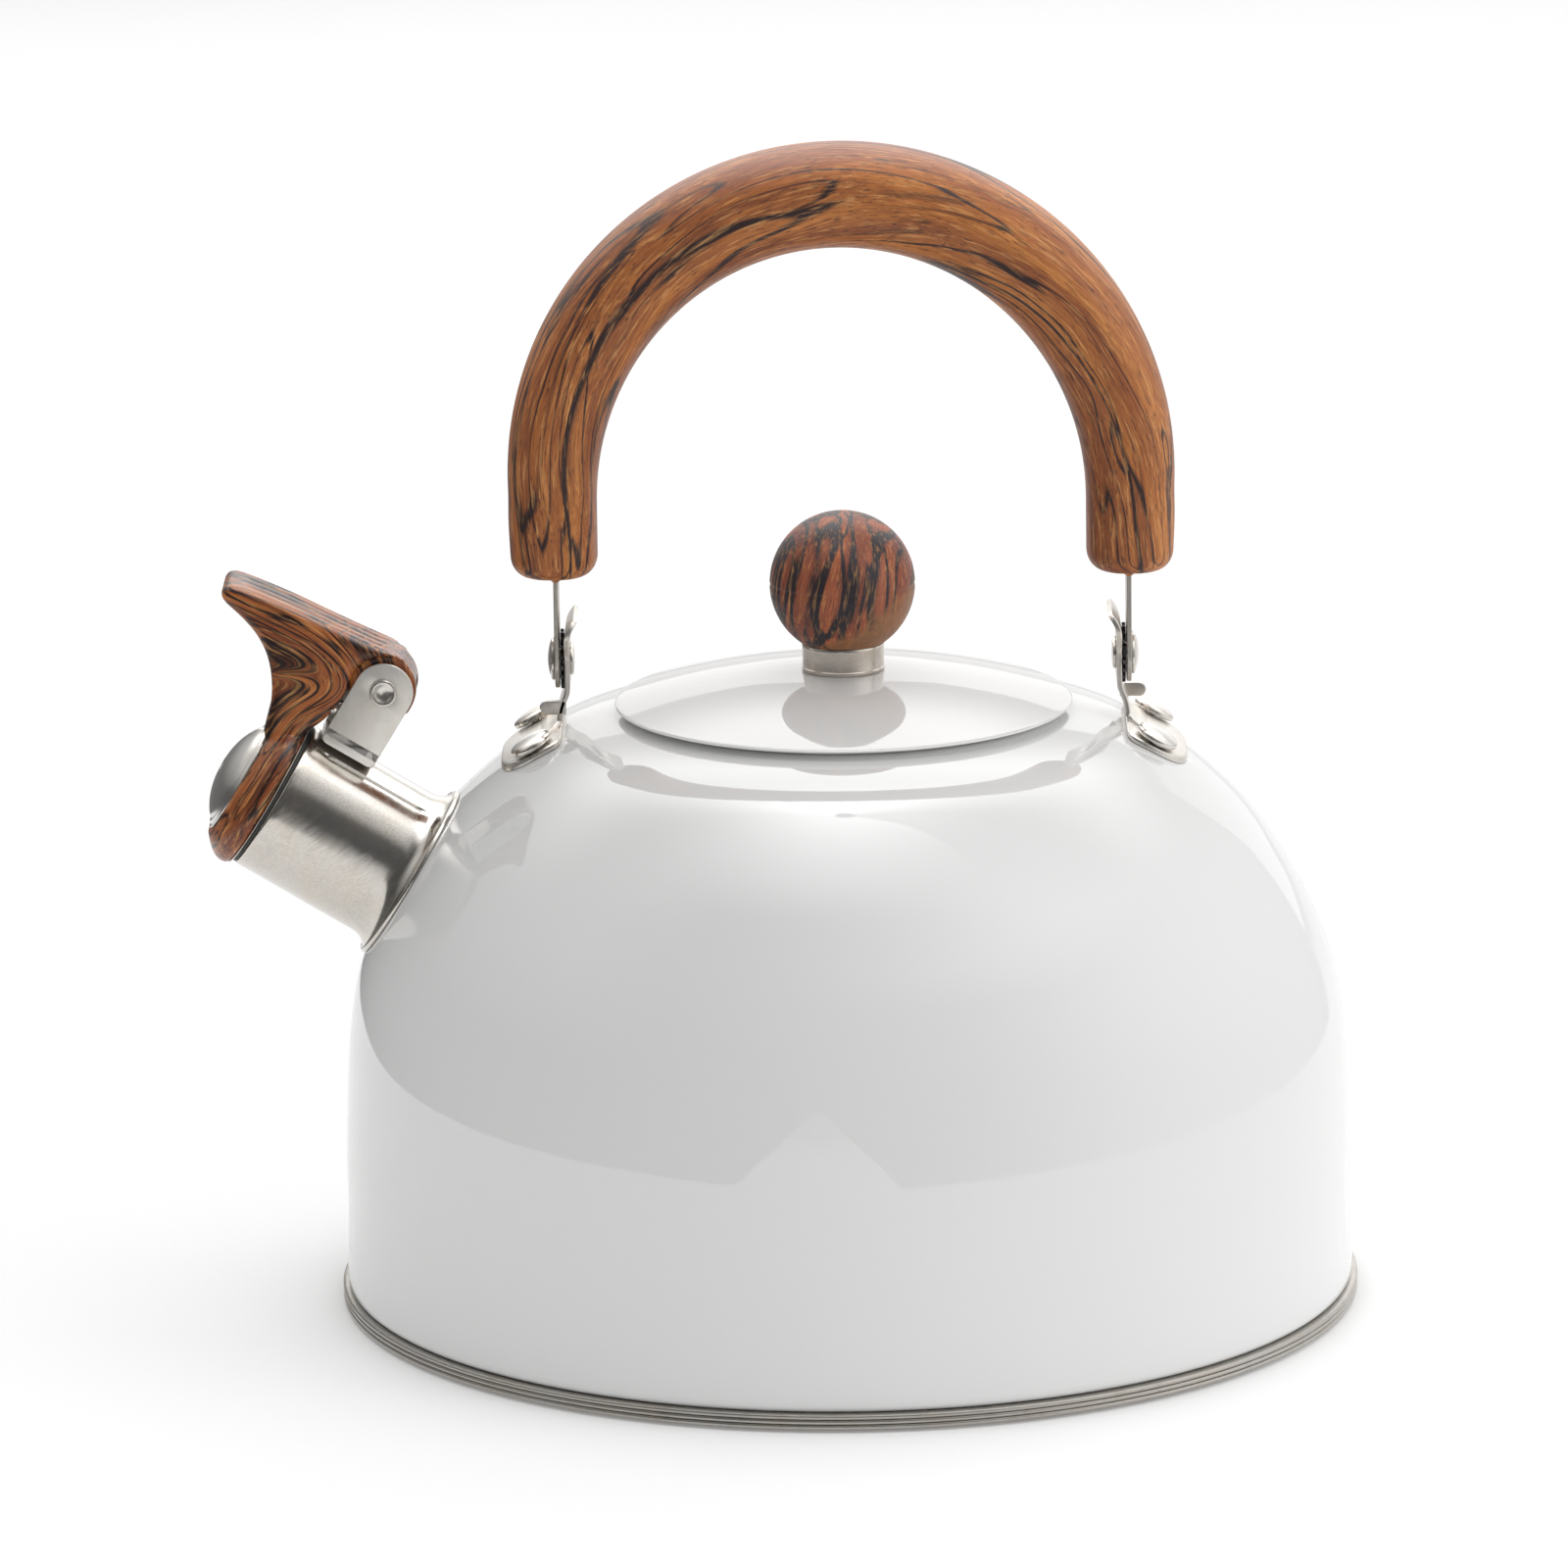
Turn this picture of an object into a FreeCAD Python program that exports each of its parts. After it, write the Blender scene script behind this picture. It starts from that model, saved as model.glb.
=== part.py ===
import FreeCAD, Part
import os, math
from FreeCAD import Vector as V

# ---------------------------------------------------------------- dimensions, mm
SHEET = 0.6              # enamelled sheet steel of the body and lid
BASE_RING_R = 97.0       # outer radius of the ridged base bead
BODY_R = 96.0            # outer radius of the body wall
BASE_DISC_R = 87.0       # flat disc the kettle stands on
MOUTH_R = 39.4           # radius of the filling mouth
MOUTH_TOP_Z = 114.2      # top of the rolled mouth bead
LID_R = 43.25            # rim radius of the lid
LID_APEX_Z = 121.0       # top of the lid where the knob collar stands
SKIRT_R = 39.3           # outer radius of the lid skirt
KNOB_R = 13.75
KNOB_Z = 137.6
COLLAR_R = 7.85
COLLAR_TOP_Z = 126.3

SPOUT_ELEV = 31.5        # degrees above the horizontal
MOUTH_X, MOUTH_Z = -108.0, 98.0      # centre of the spout mouth
SLEEVE_R = 15.0
SLEEVE_T = 0.8
FLANGE_R = 17.7
NECK_R = 14.2
NECK_T = 0.8
PIN_U, PIN_V = -7.3, 29.0            # hinge pin in spout coordinates
PIN_R = 1.5
EAR_R = 5.6
EAR_OUT = 7.0                        # outer face of the ears
EAR_T = 0.8

PIVOT_Z = 123.6          # height of the handle pivots
TANG_X = 53.9            # middle of each tang
TANG_T = 0.9
TANG_W = 11.0
BRACKET_X = 52.0         # middle of each bracket at the pivot
BRACKET_T = 1.0
PIVOT_R = 2.0
GRIP_OUT_R = 62.75       # outer arc of the grip
GRIP_OUT_Z = 159.0
GRIP_IN_A, GRIP_IN_B, GRIP_IN_Z = 45.95, 48.45, 153.7
GRIP_END_Z = 140.2
GRIP_DEPTH_TOP = 22.0
GRIP_DEPTH_END = 19.5
RUN = 0.05               # running clearance
SEAT = 0.02              # seating gap of the fixings that lie on the enamel

# outer profile of the body, radius and height
PROFILE = [(96.0, 4.8), (95.9, 12.0), (95.75, 20.0), (95.8, 27.0), (95.7, 33.0),
           (95.5, 39.0), (95.2, 45.0), (94.8, 51.0), (94.0, 57.4), (92.8, 63.5),
           (90.9, 69.4), (88.4, 75.1), (85.5, 80.6), (82.2, 85.9), (78.6, 91.0),
           (74.4, 95.7), (69.8, 100.0), (65.0, 104.0), (59.9, 107.6), (54.2, 110.4),
           (48.2, 112.2), (43.6, 113.15)]

OUT = "parts"
os.makedirs(OUT, exist_ok=True)


def save(shape, name):
    if shape.ShapeType == "Compound" and len(shape.Solids) == 1:
        shape = shape.Solids[0]
    if not shape.isValid() or len(shape.Solids) != 1:
        print("WARNING", name, shape.isValid(), len(shape.Solids))
    shape.exportStep(os.path.join(OUT, name + ".step"))
    print("%-28s %9.1f mm3  box %s" % (name, shape.Volume, [round(v, 1) for v in (
        shape.BoundBox.XMin, shape.BoundBox.YMin, shape.BoundBox.ZMin,
        shape.BoundBox.XMax, shape.BoundBox.YMax, shape.BoundBox.ZMax)]))


def spline(pts):
    c = Part.BSplineCurve()
    c.interpolate(pts)
    return c.toShape()


def path_face(start, steps, to3):
    """Closed face from lines L, arcs A and splines S; to3 turns 2-D into 3-D."""
    edges, at = [], start
    for s in steps:
        if s[0] == "L":
            edges.append(Part.makeLine(to3(at), to3(s[1])))
            at = s[1]
        elif s[0] == "A":
            edges.append(Part.Arc(to3(at), to3(s[1]), to3(s[2])).toShape())
            at = s[2]
        elif s[0] == "S":
            edges.append(spline([to3(at)] + [to3(p) for p in s[1]]))
            at = s[1][-1]
    if (at[0] - start[0]) ** 2 + (at[1] - start[1]) ** 2 > 1e-12:
        edges.append(Part.makeLine(to3(at), to3(start)))
    return Part.Face(Part.Wire(edges))


def rz(p):
    return V(p[0], 0, p[1])


def turned(start, steps):
    return path_face(start, steps, rz).revolve(V(0, 0, 0), V(0, 0, 1), 360)


def offset_profile(d, pts=PROFILE):
    out = []
    for i, (r, z) in enumerate(pts):
        a, b = pts[max(0, i - 1)], pts[min(len(pts) - 1, i + 1)]
        t = math.hypot(b[0] - a[0], b[1] - a[1])
        n = ((b[1] - a[1]) / t, -(b[0] - a[0]) / t)
        out.append((r + n[0] * d, z + n[1] * d))
    return out


def layer(d0, d1, first=9):
    """Closed ring between two offsets of the domed part of the body."""
    a, b = offset_profile(d0)[first:], offset_profile(d1)[first:]
    return turned(a[0], [("S", a[1:]), ("L", b[-1]), ("S", b[::-1][1:])])


def full_body(d):
    """Solid of everything inside the body surface offset by d."""
    o = offset_profile(d)
    return turned((0, 0), [("L", (o[0][0], 0)), ("L", o[0]), ("S", o[1:]),
                           ("L", (0, o[-1][1])), ("L", (0, 0))])


# ---------------------------------------------------------------- spout frame
SE = math.radians(SPOUT_ELEV)
AX = V(-math.cos(SE), 0, math.sin(SE))        # outwards along the spout
UP = V(math.sin(SE), 0, math.cos(SE))         # up, square to the spout
MO = V(MOUTH_X, 0, MOUTH_Z)


def sp(u, v, w=0.0):
    return MO + AX * u + UP * v + V(0, w, 0)


def uv(p):
    return sp(p[0], p[1], 0)


def spout_turned(start, steps):
    """Revolved about the spout axis from (u, radius) points."""
    f = path_face(start, steps, lambda p: sp(p[0], p[1]))
    return f.revolve(MO, AX, 360)


def side_solid(start, steps, w0, w1):
    f = path_face(start, steps, lambda p: sp(p[0], p[1], w0))
    return f.extrude(V(0, w1 - w0, 0))


def along_spout(r, u0, u1):
    return Part.makeCylinder(r, u1 - u0, sp(u0, 0), AX)


# ---------------------------------------------------------------- body shell
inner = offset_profile(-SHEET)
body = turned((92.0, 3.5), [
    ("L", (94.8, 3.5)), ("A", (95.65, 3.95), (96.0, 4.8)),
    ("S", PROFILE[1:]),
    ("S", [(42.5, 113.45), (41.6, 113.9), (40.8, 114.15), (40.45, 114.2),
           (39.95, 114.05), (39.55, 113.6), (MOUTH_R, 113.0)]),
    ("L", (MOUTH_R, 108.6)), ("L", (MOUTH_R + 0.6, 108.6)),
    ("L", (MOUTH_R + 0.6, 112.9)),
    ("S", [(40.15, 113.35), (40.5, 113.55), (40.8, 113.5), (41.5, 113.2),
           (42.4, 112.8), inner[-1]]),
    ("S", inner[::-1][1:]),
    ("A", (95.2, 4.4), (94.8, 4.1)), ("L", (92.0, 4.1))])
body = body.cut(along_spout(NECK_R, -80, 0))
if len(body.Solids) > 1:
    body = max(body.Solids, key=lambda s: s.Volume)

# ---------------------------------------------------------------- base pan
RB = BASE_RING_R
pan = turned((0, 0), [
    ("L", (BASE_DISC_R, 0)), ("S", [(88.2, 0.15), (89.3, 0.45), (90.4, 0.6)]),
    ("L", (95.9, 0.6)), ("L", (RB - 0.55, 0.6)),
    ("A", (RB, 1.08), (RB - 0.45, 1.56)),
    ("A", (RB, 2.04), (RB - 0.45, 2.52)),
    ("A", (RB, 3.0), (RB - 0.6, 3.5)),
    ("L", (91.6, 3.5)), ("L", (91.0, 2.9)), ("L", (91.0, 1.4)),
    ("L", (90.2, 1.25)), ("S", [(89.1, 1.15), (88.0, 0.9), (86.8, 0.8)]),
    ("L", (0, 0.8))])
save(pan, "base_pan")

# ---------------------------------------------------------------- spout neck
solid_out = full_body(0.0)
neck = along_spout(NECK_R - SEAT, -45, -14).fuse(
    along_spout(NECK_R + 3.0, -45, -12).common(full_body(-SHEET - SEAT)))
neck = neck.cut(full_body(-SHEET - 0.8)).cut(along_spout(NECK_R - NECK_T, -60, 5))
save(neck, "spout_neck")

# ---------------------------------------------------------------- spout sleeve
sleeve = along_spout(SLEEVE_R, -45, 0)
sleeve = sleeve.fuse(along_spout(FLANGE_R, -45, -10).common(full_body(0.9)))
sleeve = sleeve.fuse(along_spout(SLEEVE_R + 1.0, -45, -10).common(full_body(1.7)))
sleeve = sleeve.cut(full_body(SEAT)).cut(along_spout(NECK_R, -60, 5))
if len(sleeve.Solids) > 1:
    sleeve = max(sleeve.Solids, key=lambda s: s.Volume)
save(sleeve, "spout_sleeve")

# ---------------------------------------------------------------- whistle bracket
EU0, EU1 = PIN_U - EAR_R, PIN_U + EAR_R
ear_path = [("L", (EU1, 15.0)), ("L", (EU1, PIN_V)),
            ("A", (PIN_U, PIN_V + EAR_R), (EU0, PIN_V)), ("L", (EU0, 15.0))]
ear_a = side_solid((EU0, 15.0), ear_path, -EAR_OUT, -EAR_OUT + EAR_T)
ear_b = side_solid((EU0, 15.0), ear_path, EAR_OUT - EAR_T, EAR_OUT)
floor = side_solid((EU0, 15.0), [("L", (EU1, 15.0)), ("L", (EU1, 15.0 + EAR_T)),
                                 ("L", (EU0, 15.0 + EAR_T))], -EAR_OUT, EAR_OUT)
rear = side_solid((EU0, 15.0), [("L", (EU0 + EAR_T, 15.0)), ("L", (EU0 + EAR_T, 22.5)),
                                ("L", (EU0, 22.5))], -5.2, 5.2)
clip = ear_a.fuse([ear_b, floor, rear])
clip = clip.cut(Part.makeCylinder(PIN_R, 30, sp(PIN_U, PIN_V, -15), V(0, 1, 0)))
clip = clip.removeSplitter()
save(clip, "whistle_bracket")

# ---------------------------------------------------------------- whistle hinge pin
pin = Part.makeCylinder(PIN_R, 2 * EAR_OUT, sp(PIN_U, PIN_V, -EAR_OUT), V(0, 1, 0))
HEAD_R, HEAD_T = 2.6, 0.9
for s in (-1, 1):
    head = Part.makeCylinder(HEAD_R, HEAD_T, sp(PIN_U, PIN_V, s * EAR_OUT), V(0, s, 0))
    dish = Part.makeSphere(4.2, sp(PIN_U, PIN_V, s * (EAR_OUT + HEAD_T + 3.75)))
    pin = pin.fuse(head.cut(dish))
pin = pin.removeSplitter()
save(pin, "whistle_hinge_pin")

# ---------------------------------------------------------------- whistle lever
W_ARM = 8.2                  # half width of the thumb lever
W_WEB = 5.9                  # half width of the hub between the ears
CAP_BORE = 10.6
cap = spout_turned((1.2, CAP_BORE), [
    ("L", (1.2, 15.4)), ("S", [(1.55, 15.85), (2.3, 16.0), (3.5, 15.8), (4.9, 15.0),
                               (6.1, 13.9), (7.0, 12.8), (7.6, 12.0)]),
    ("L", (7.6, 11.75)), ("L", (6.6, 11.75)), ("L", (6.6, CAP_BORE))])
arm = side_solid((1.2, 8.0), [
    ("L", (1.2, 15.7)),
    ("S", [(0.7, 17.0), (0.0, 19.0), (-0.45, 21.5), (-0.5, 23.5)]),
    ("L", (-0.5, 26.0)),
    ("L", (-12.6, 26.0)),
    ("S", [(-13.4, 28.0), (-13.3, 29.8), (-12.8, 31.7), (-11.3, 33.9), (-9.0, 35.4),
           (-6.0, 36.2), (-3.0, 36.0)]),
    ("S", [(3.0, 35.3), (9.0, 34.8), (16.0, 34.2), (23.0, 33.3), (26.2, 32.9)]),
    ("A", (28.9, 31.3), (26.9, 29.0)),
    ("S", [(23.2, 28.2), (19.5, 27.0), (16.5, 25.4), (14.0, 23.2), (12.0, 20.7),
           (10.3, 17.8), (9.3, 14.6), (8.9, 12.2)]),
    ("L", (6.9, 12.4)), ("L", (6.0, 11.0)), ("L", (6.0, 8.0))], -W_ARM, W_ARM)
# pockets beside the hub take the ears
pocket = side_solid((-0.5, 26.0), [
    ("L", (-0.5, PIN_V)), ("A", (PIN_U + 5.1, PIN_V + 5.1), (PIN_U, PIN_V + 7.1)),
    ("L", (-16.0, PIN_V + 7.1)), ("L", (-16.0, 10.0)), ("L", (-0.5, 10.0))], 0, 10)
pocket_a = pocket.copy()
pocket_a.translate(V(0, W_WEB, 0))
pocket_b = pocket.copy()
pocket_b.translate(V(0, -W_WEB - 10, 0))
arm = arm.cut(pocket_a).cut(pocket_b)
# slot for the coil of the spring
slot = side_solid((-0.5 - 1.3, 15.0), [
    ("L", (-1.8, 25.5)), ("A", (PIN_U + 3.6, PIN_V + 2.6), (PIN_U, PIN_V + 4.3)),
    ("L", (-16.0, PIN_V + 4.3)), ("L", (-16.0, 15.0))], -3.2, 3.2)
arm = arm.cut(slot)
lever = cap.fuse(arm)
lever = lever.cut(along_spout(CAP_BORE, -5, 6.6))
lever = lever.cut(along_spout(11.7, 6.6, 7.7))
lever = lever.cut(Part.makeCylinder(PIN_R + RUN, 30, sp(PIN_U, PIN_V, -15), V(0, 1, 0)))
lever = lever.removeSplitter()
save(lever, "whistle_lever")

# ---------------------------------------------------------------- whistle discs
dome = spout_turned((6.6, 11.7), [
    ("L", (7.5, 11.7)), ("L", (7.9, 10.9)), ("L", (7.9, 10.0)),
    ("S", [(9.3, 8.4), (10.5, 5.8), (11.2, 3.2), (11.4, 1.3)]),
    ("L", (10.8, 1.3)), ("S", [(10.6, 3.1), (9.9, 5.6), (8.8, 7.8), (7.4, 9.5)]),
    ("L", (7.3, 10.6)), ("L", (6.6, 10.6))])
save(dome, "whistle_front_dome")

rear_disc = spout_turned((1.2, 1.3), [
    ("L", (1.2, 15.55)), ("L", (0.8, 15.55)), ("L", (0.8, 1.3))])
rear_disc = rear_disc.fuse(spout_turned((1.0, 10.0), [
    ("L", (3.6, 10.0)), ("L", (3.6, CAP_BORE)), ("L", (1.0, CAP_BORE))])).removeSplitter()
save(rear_disc, "whistle_rear_disc")

gasket = spout_turned((0.8, 12.6), [
    ("L", (0.8, 14.8)), ("L", (0.05, 14.8)), ("L", (0.05, 14.0)),
    ("S", [(-0.6, 13.9), (-0.95, 13.4), (-0.7, 12.9)]), ("L", (0.0, 12.6))])
save(gasket, "whistle_gasket")

# ---------------------------------------------------------------- whistle spring
WIRE = 0.4
COIL_R, TURNS, PITCH = 2.6, 3, 1.15
W0 = TURNS * PITCH / 2                   # fixed end on the far side, moving end on the near side
PHI0 = math.radians(-90)
TURN = 2 * math.pi * TURNS - math.radians(35)
N = TURNS * 20
coil = []
for i in range(N + 1):
    a = PHI0 + TURN * i / N
    coil.append(sp(PIN_U + COIL_R * math.cos(a), PIN_V + COIL_R * math.sin(a),
                   W0 - TURNS * PITCH * i / N))


def leg(p0, d0, p1, d1, n):
    """Smooth bend between two points with given directions."""
    out = []
    k = (p1 - p0).Length
    for i in range(1, n):
        t = i / float(n)
        h00, h10 = 2 * t ** 3 - 3 * t * t + 1, t ** 3 - 2 * t * t + t
        h01, h11 = -2 * t ** 3 + 3 * t * t, t ** 3 - t * t
        out.append(p0 * h00 + d0 * (h10 * k) + p1 * h01 + d1 * (h11 * k))
    return out


def unit(v):
    return v * (1.0 / v.Length)


d_in = unit(coil[1] - coil[0])
d_out = unit(coil[-1] - coil[-2])
foot0 = sp(PIN_U - 4.1, 17.0, W0)
corner = sp(-1.12, 21.7, -W0 - 1.2)
tip = sp(-1.12, 21.7, -8.3)
leg0 = [foot0] + leg(foot0, UP, coil[0], d_in, 6)
leg1 = leg(coil[-1], d_out, corner, V(0, -1, 0), 7) + [corner, tip]
path = Part.Wire(Part.makePolygon(leg0 + coil + leg1).Edges)
circ = Part.Wire(Part.makeCircle(WIRE, foot0, leg0[1] - leg0[0]))
spring = path.makePipeShell([circ], True, False, 1)
save(spring, "whistle_spring")

# ---------------------------------------------------------------- handle brackets
foot_layer = layer(0.0, 1.2)


def bracket():
    # built on the left side, outward is -X
    y = 15.6
    o = path_face((-53.0, -y + 2.5), [
        ("A", (-53.7, -y + 0.7), (-55.5, -y)), ("L", (-57.8, -y)),
        ("A", (-63.0, -y + 2.6), (-64.8, -7.0)), ("L", (-64.8, 7.0)),
        ("A", (-63.0, y - 2.6), (-57.8, y)), ("L", (-55.5, y)),
        ("A", (-53.7, y - 0.7), (-53.0, y - 2.5))], lambda p: V(p[0], p[1], 90))
    foot = o.extrude(V(0, 0, 40)).common(foot_layer)
    f = path_face((-54.1, 106.0), [
        ("L", (-54.1, 112.2)), ("S", [(-53.8, 114.1), (-53.05, 116.2), (-52.5, 117.8)]),
        ("L", (-52.5, 129.0)), ("S", [(-52.25, 130.2), (-51.6, 131.4), (-50.6, 132.8)]),
        ("L", (-49.8, 132.2)), ("S", [(-50.75, 130.95), (-51.3, 130.0), (-51.5, 129.0)]),
        ("L", (-51.5, 117.9)), ("S", [(-52.1, 116.0), (-52.85, 114.0), (-53.1, 112.2)]),
        ("L", (-53.1, 106.0))], lambda p: V(p[0], -20, p[1]))
    strip = f.extrude(V(0, 40, 0))
    oy = path_face((-5.5, 100.0), [
        ("L", (-5.5, 125.0)), ("S", [(-5.8, 127.0), (-7.0, 128.6), (-8.0, 129.6)]),
        ("A", (-8.0, 131.4), (-6.0, 132.6)), ("L", (6.0, 132.6)),
        ("A", (8.0, 131.4), (8.0, 129.6)), ("S", [(7.0, 128.6), (5.8, 127.0), (5.5, 125.0)]),
        ("L", (5.5, 100.0))], lambda p: V(-60, p[0], p[1]))
    strip = strip.common(oy.extrude(V(20, 0, 0)))
    tab = path_face((-52.6, 113.95), [
        ("L", (-55.9, 113.95)), ("A", (-57.3, 115.3), (-55.9, 116.65)),
        ("L", (-52.6, 116.65))], lambda p: V(p[0], -5.5, p[1])).extrude(V(0, 1.0, 0))
    s = strip.fuse(foot).fuse(tab).cut(full_body(SEAT))
    s = s.cut(Part.makeCylinder(PIVOT_R, 10, V(-57, 0, PIVOT_Z), V(1, 0, 0)))
    for ry in (-11.0, 11.0):
        c, n = rivet_seat(-58.0, ry)
        s = s.cut(Part.makeCylinder(2.0, 12, c - n * 6, n))
    s = s.removeSplitter()
    if len(s.Solids) > 1:
        s = max(s.Solids, key=lambda q: q.Volume)
    return s


def rivet_seat(x, y):
    """Point on the body surface under (x, y) and the outward normal there."""
    r = math.hypot(x, y)
    o = PROFILE
    for i in range(len(o) - 1):
        if o[i + 1][0] <= r <= o[i][0]:
            k = (r - o[i + 1][0]) / (o[i][0] - o[i + 1][0])
            z = o[i + 1][1] + k * (o[i][1] - o[i + 1][1])
            dr, dz = o[i + 1][0] - o[i][0], o[i + 1][1] - o[i][1]
            l = math.hypot(dr, dz)
            nr, nz = dz / l, -dr / l
            return V(x, y, z), V(nr * x / r, nr * y / r, nz)


br = bracket()
br_r = br.copy()
br_r.rotate(V(0, 0, 0), V(0, 0, 1), 180)
save(br, "bracket_left")
save(br_r, "bracket_right")


def foot_rivet(x, y):
    c, n = rivet_seat(x, y)
    top = 1.45
    shank = Part.makeCylinder(2.0, top + 1.2, c - n * 1.2, n)
    head = Part.makeCylinder(4.1, 1.0, c + n * top, n)
    domed = Part.makeSphere(9.0, c + n * (top + 1.0 - math.sqrt(81 - 4.1 ** 2)))
    domed = domed.common(Part.makeCylinder(4.1, 3.0, c + n * (top + 1.0), n))
    tail = Part.makeCylinder(3.2, 1.2, c - n * 1.9, n)
    return shank.fuse([head, domed, tail]).removeSplitter(), c, n


holes = []
rivets = {}
for side, sx in (("left", -1), ("right", 1)):
    for where, sy in (("front", -1), ("rear", 1)):
        shp, c, n = foot_rivet(sx * 58.0, sy * 11.0)
        rivets["bracket_rivet_%s_%s" % (side, where)] = shp
        holes.append(Part.makeCylinder(2.0, 12, c - n * 6, n))
for name, shp in rivets.items():
    save(shp, name)
body2 = body
for h in holes:
    body2 = body2.cut(h)
for shp in rivets.values():
    body2 = body2.cut(shp)
save(body2, "body_shell")

# ---------------------------------------------------------------- handle pivots
HX = TANG_X + TANG_T / 2 + 0.03          # inner face of the outer rivet head
BX = BRACKET_X + BRACKET_T / 2
for side, s in (("left", -1), ("right", 1)):
    ax = V(s, 0, 0)
    c = V(0, 0, PIVOT_Z)
    shank = Part.makeCylinder(PIVOT_R, HX - 50.9, c + ax * 50.9, ax)
    rim = Part.makeCylinder(4.1, 0.45, c + ax * HX, ax)
    domed = Part.makeSphere(9.0, c + ax * (HX + 0.45 - math.sqrt(81 - 4.1 ** 2)))
    domed = domed.common(Part.makeCylinder(4.1, 3.0, c + ax * (HX + 0.45), ax))
    tail = Part.makeCylinder(3.1, 0.9, c + ax * (BX - BRACKET_T - 0.9), ax)
    save(shank.fuse([rim, domed, tail]).removeSplitter(), "handle_pivot_rivet_" + side)
    # toothed friction washer
    W1 = TANG_X - TANG_T / 2 - 0.03
    n, ro, ri = 18, 5.7, 4.7
    ring = []
    for i in range(n):
        for k, r in ((0.0, ri), (0.2, ro), (0.5, ro), (0.7, ri)):
            a = 2 * math.pi * (i + k) / n
            ring.append(c + ax * BX + V(0, r * math.cos(a), r * math.sin(a)))
    ring.append(ring[0])
    wash = Part.Face(Part.makePolygon(ring)).extrude(ax * (W1 - BX))
    wash = wash.cut(Part.makeCylinder(PIVOT_R, 10, c + ax * 48, ax))
    save(wash, "friction_washer_" + side)

# ---------------------------------------------------------------- handle tangs
for side, s in (("left", -1), ("right", 1)):
    x0 = s * (TANG_X - TANG_T / 2)
    h = TANG_W / 2
    f = path_face((-h, PIVOT_Z), [
        ("A", (0, PIVOT_Z - h), (h, PIVOT_Z)), ("L", (h, 152.0)), ("L", (-h, 152.0))],
        lambda p: V(x0, p[0], p[1]))
    tang = f.extrude(V(s * TANG_T, 0, 0))
    tang = tang.cut(Part.makeCylinder(PIVOT_R + RUN, 20, V(s * 45, 0, PIVOT_Z), V(s, 0, 0)))
    save(tang, "handle_tang_" + side)

# ---------------------------------------------------------------- grip
def grip_sections():
    """Centre line and cross sections from the left end over the arch to the right end."""
    sec = []
    zs = [GRIP_END_Z, 144.0, 148.5, 153.7]
    for z in zs:
        xo = -GRIP_OUT_R + 0.5 * max(0.0, (152.0 - z) / 12.0) ** 1.5
        sec.append(((xo, z), (-GRIP_IN_A, z)))
    for k in range(1, 16):
        t = math.pi * k / 16
        # normal direction blends from the outer circle
        xi, zi = -GRIP_IN_A * math.cos(t), GRIP_IN_Z + GRIP_IN_B * math.sin(t)
        nx, nz = -math.cos(t) * GRIP_IN_B, math.sin(t) * GRIP_IN_A
        l = math.hypot(nx, nz)
        nx, nz = nx / l, nz / l
        # meet the outer circle along the normal
        dx, dz = xi, zi - GRIP_OUT_Z
        bq = dx * nx + dz * nz
        cq = dx * dx + dz * dz - GRIP_OUT_R ** 2
        d = -bq + math.sqrt(bq * bq - cq)
        sec.append(((xi + nx * d, zi + nz * d), (xi, zi)))
    for z in zs[::-1]:
        xo = GRIP_OUT_R - 0.5 * max(0.0, (152.0 - z) / 12.0) ** 1.5
        sec.append(((xo, z), (GRIP_IN_A, z)))
    return sec


def section_wire(po, pi_, depth, shrink=1.0):
    cx, cz = (po[0] + pi_[0]) / 2, (po[1] + pi_[1]) / 2
    hx, hz = (po[0] - pi_[0]) / 2 * shrink, (po[1] - pi_[1]) / 2 * shrink
    d = depth / 2 * shrink
    pts = []
    n = 24
    for i in range(n):
        a = 2 * math.pi * i / n
        ca, sa = math.cos(a), math.sin(a)
        e = 0.80                       # fuller than an ellipse
        fx = math.copysign(abs(ca) ** e, ca)
        fy = math.copysign(abs(sa) ** e, sa)
        pts.append(V(cx + hx * fx, d * fy, cz + hz * fx))
    c = Part.BSplineCurve()
    c.interpolate(Points=pts, PeriodicFlag=True)
    return Part.Wire(c.toShape())


secs = grip_sections()
wires = []
for i in (0, 3, 5, 7, 9, 11, 13, 15, 17, 19, 22):
    po, pi_ = secs[i]
    k = math.sin(math.pi * i / (len(secs) - 1))
    depth = GRIP_DEPTH_END + (GRIP_DEPTH_TOP - GRIP_DEPTH_END) * k
    wires.append(section_wire(po, pi_, depth))
grip = Part.makeLoft(wires, True, False)
ends = [e for e in grip.Edges if abs(e.BoundBox.ZMax - GRIP_END_Z) < 1e-3
        and abs(e.BoundBox.ZMin - GRIP_END_Z) < 1e-3]
grip = grip.makeFillet(2.6, ends)
for s in (-1, 1):
    h = TANG_W / 2
    pocket = Part.makeBox(TANG_T, TANG_W, 152.0 - 132.0, V(s * TANG_X - TANG_T / 2, -h, 132.0))
    grip = grip.cut(pocket)
if len(grip.Solids) > 1:
    grip = max(grip.Solids, key=lambda q: q.Volume)
save(grip, "handle_grip")

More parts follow.
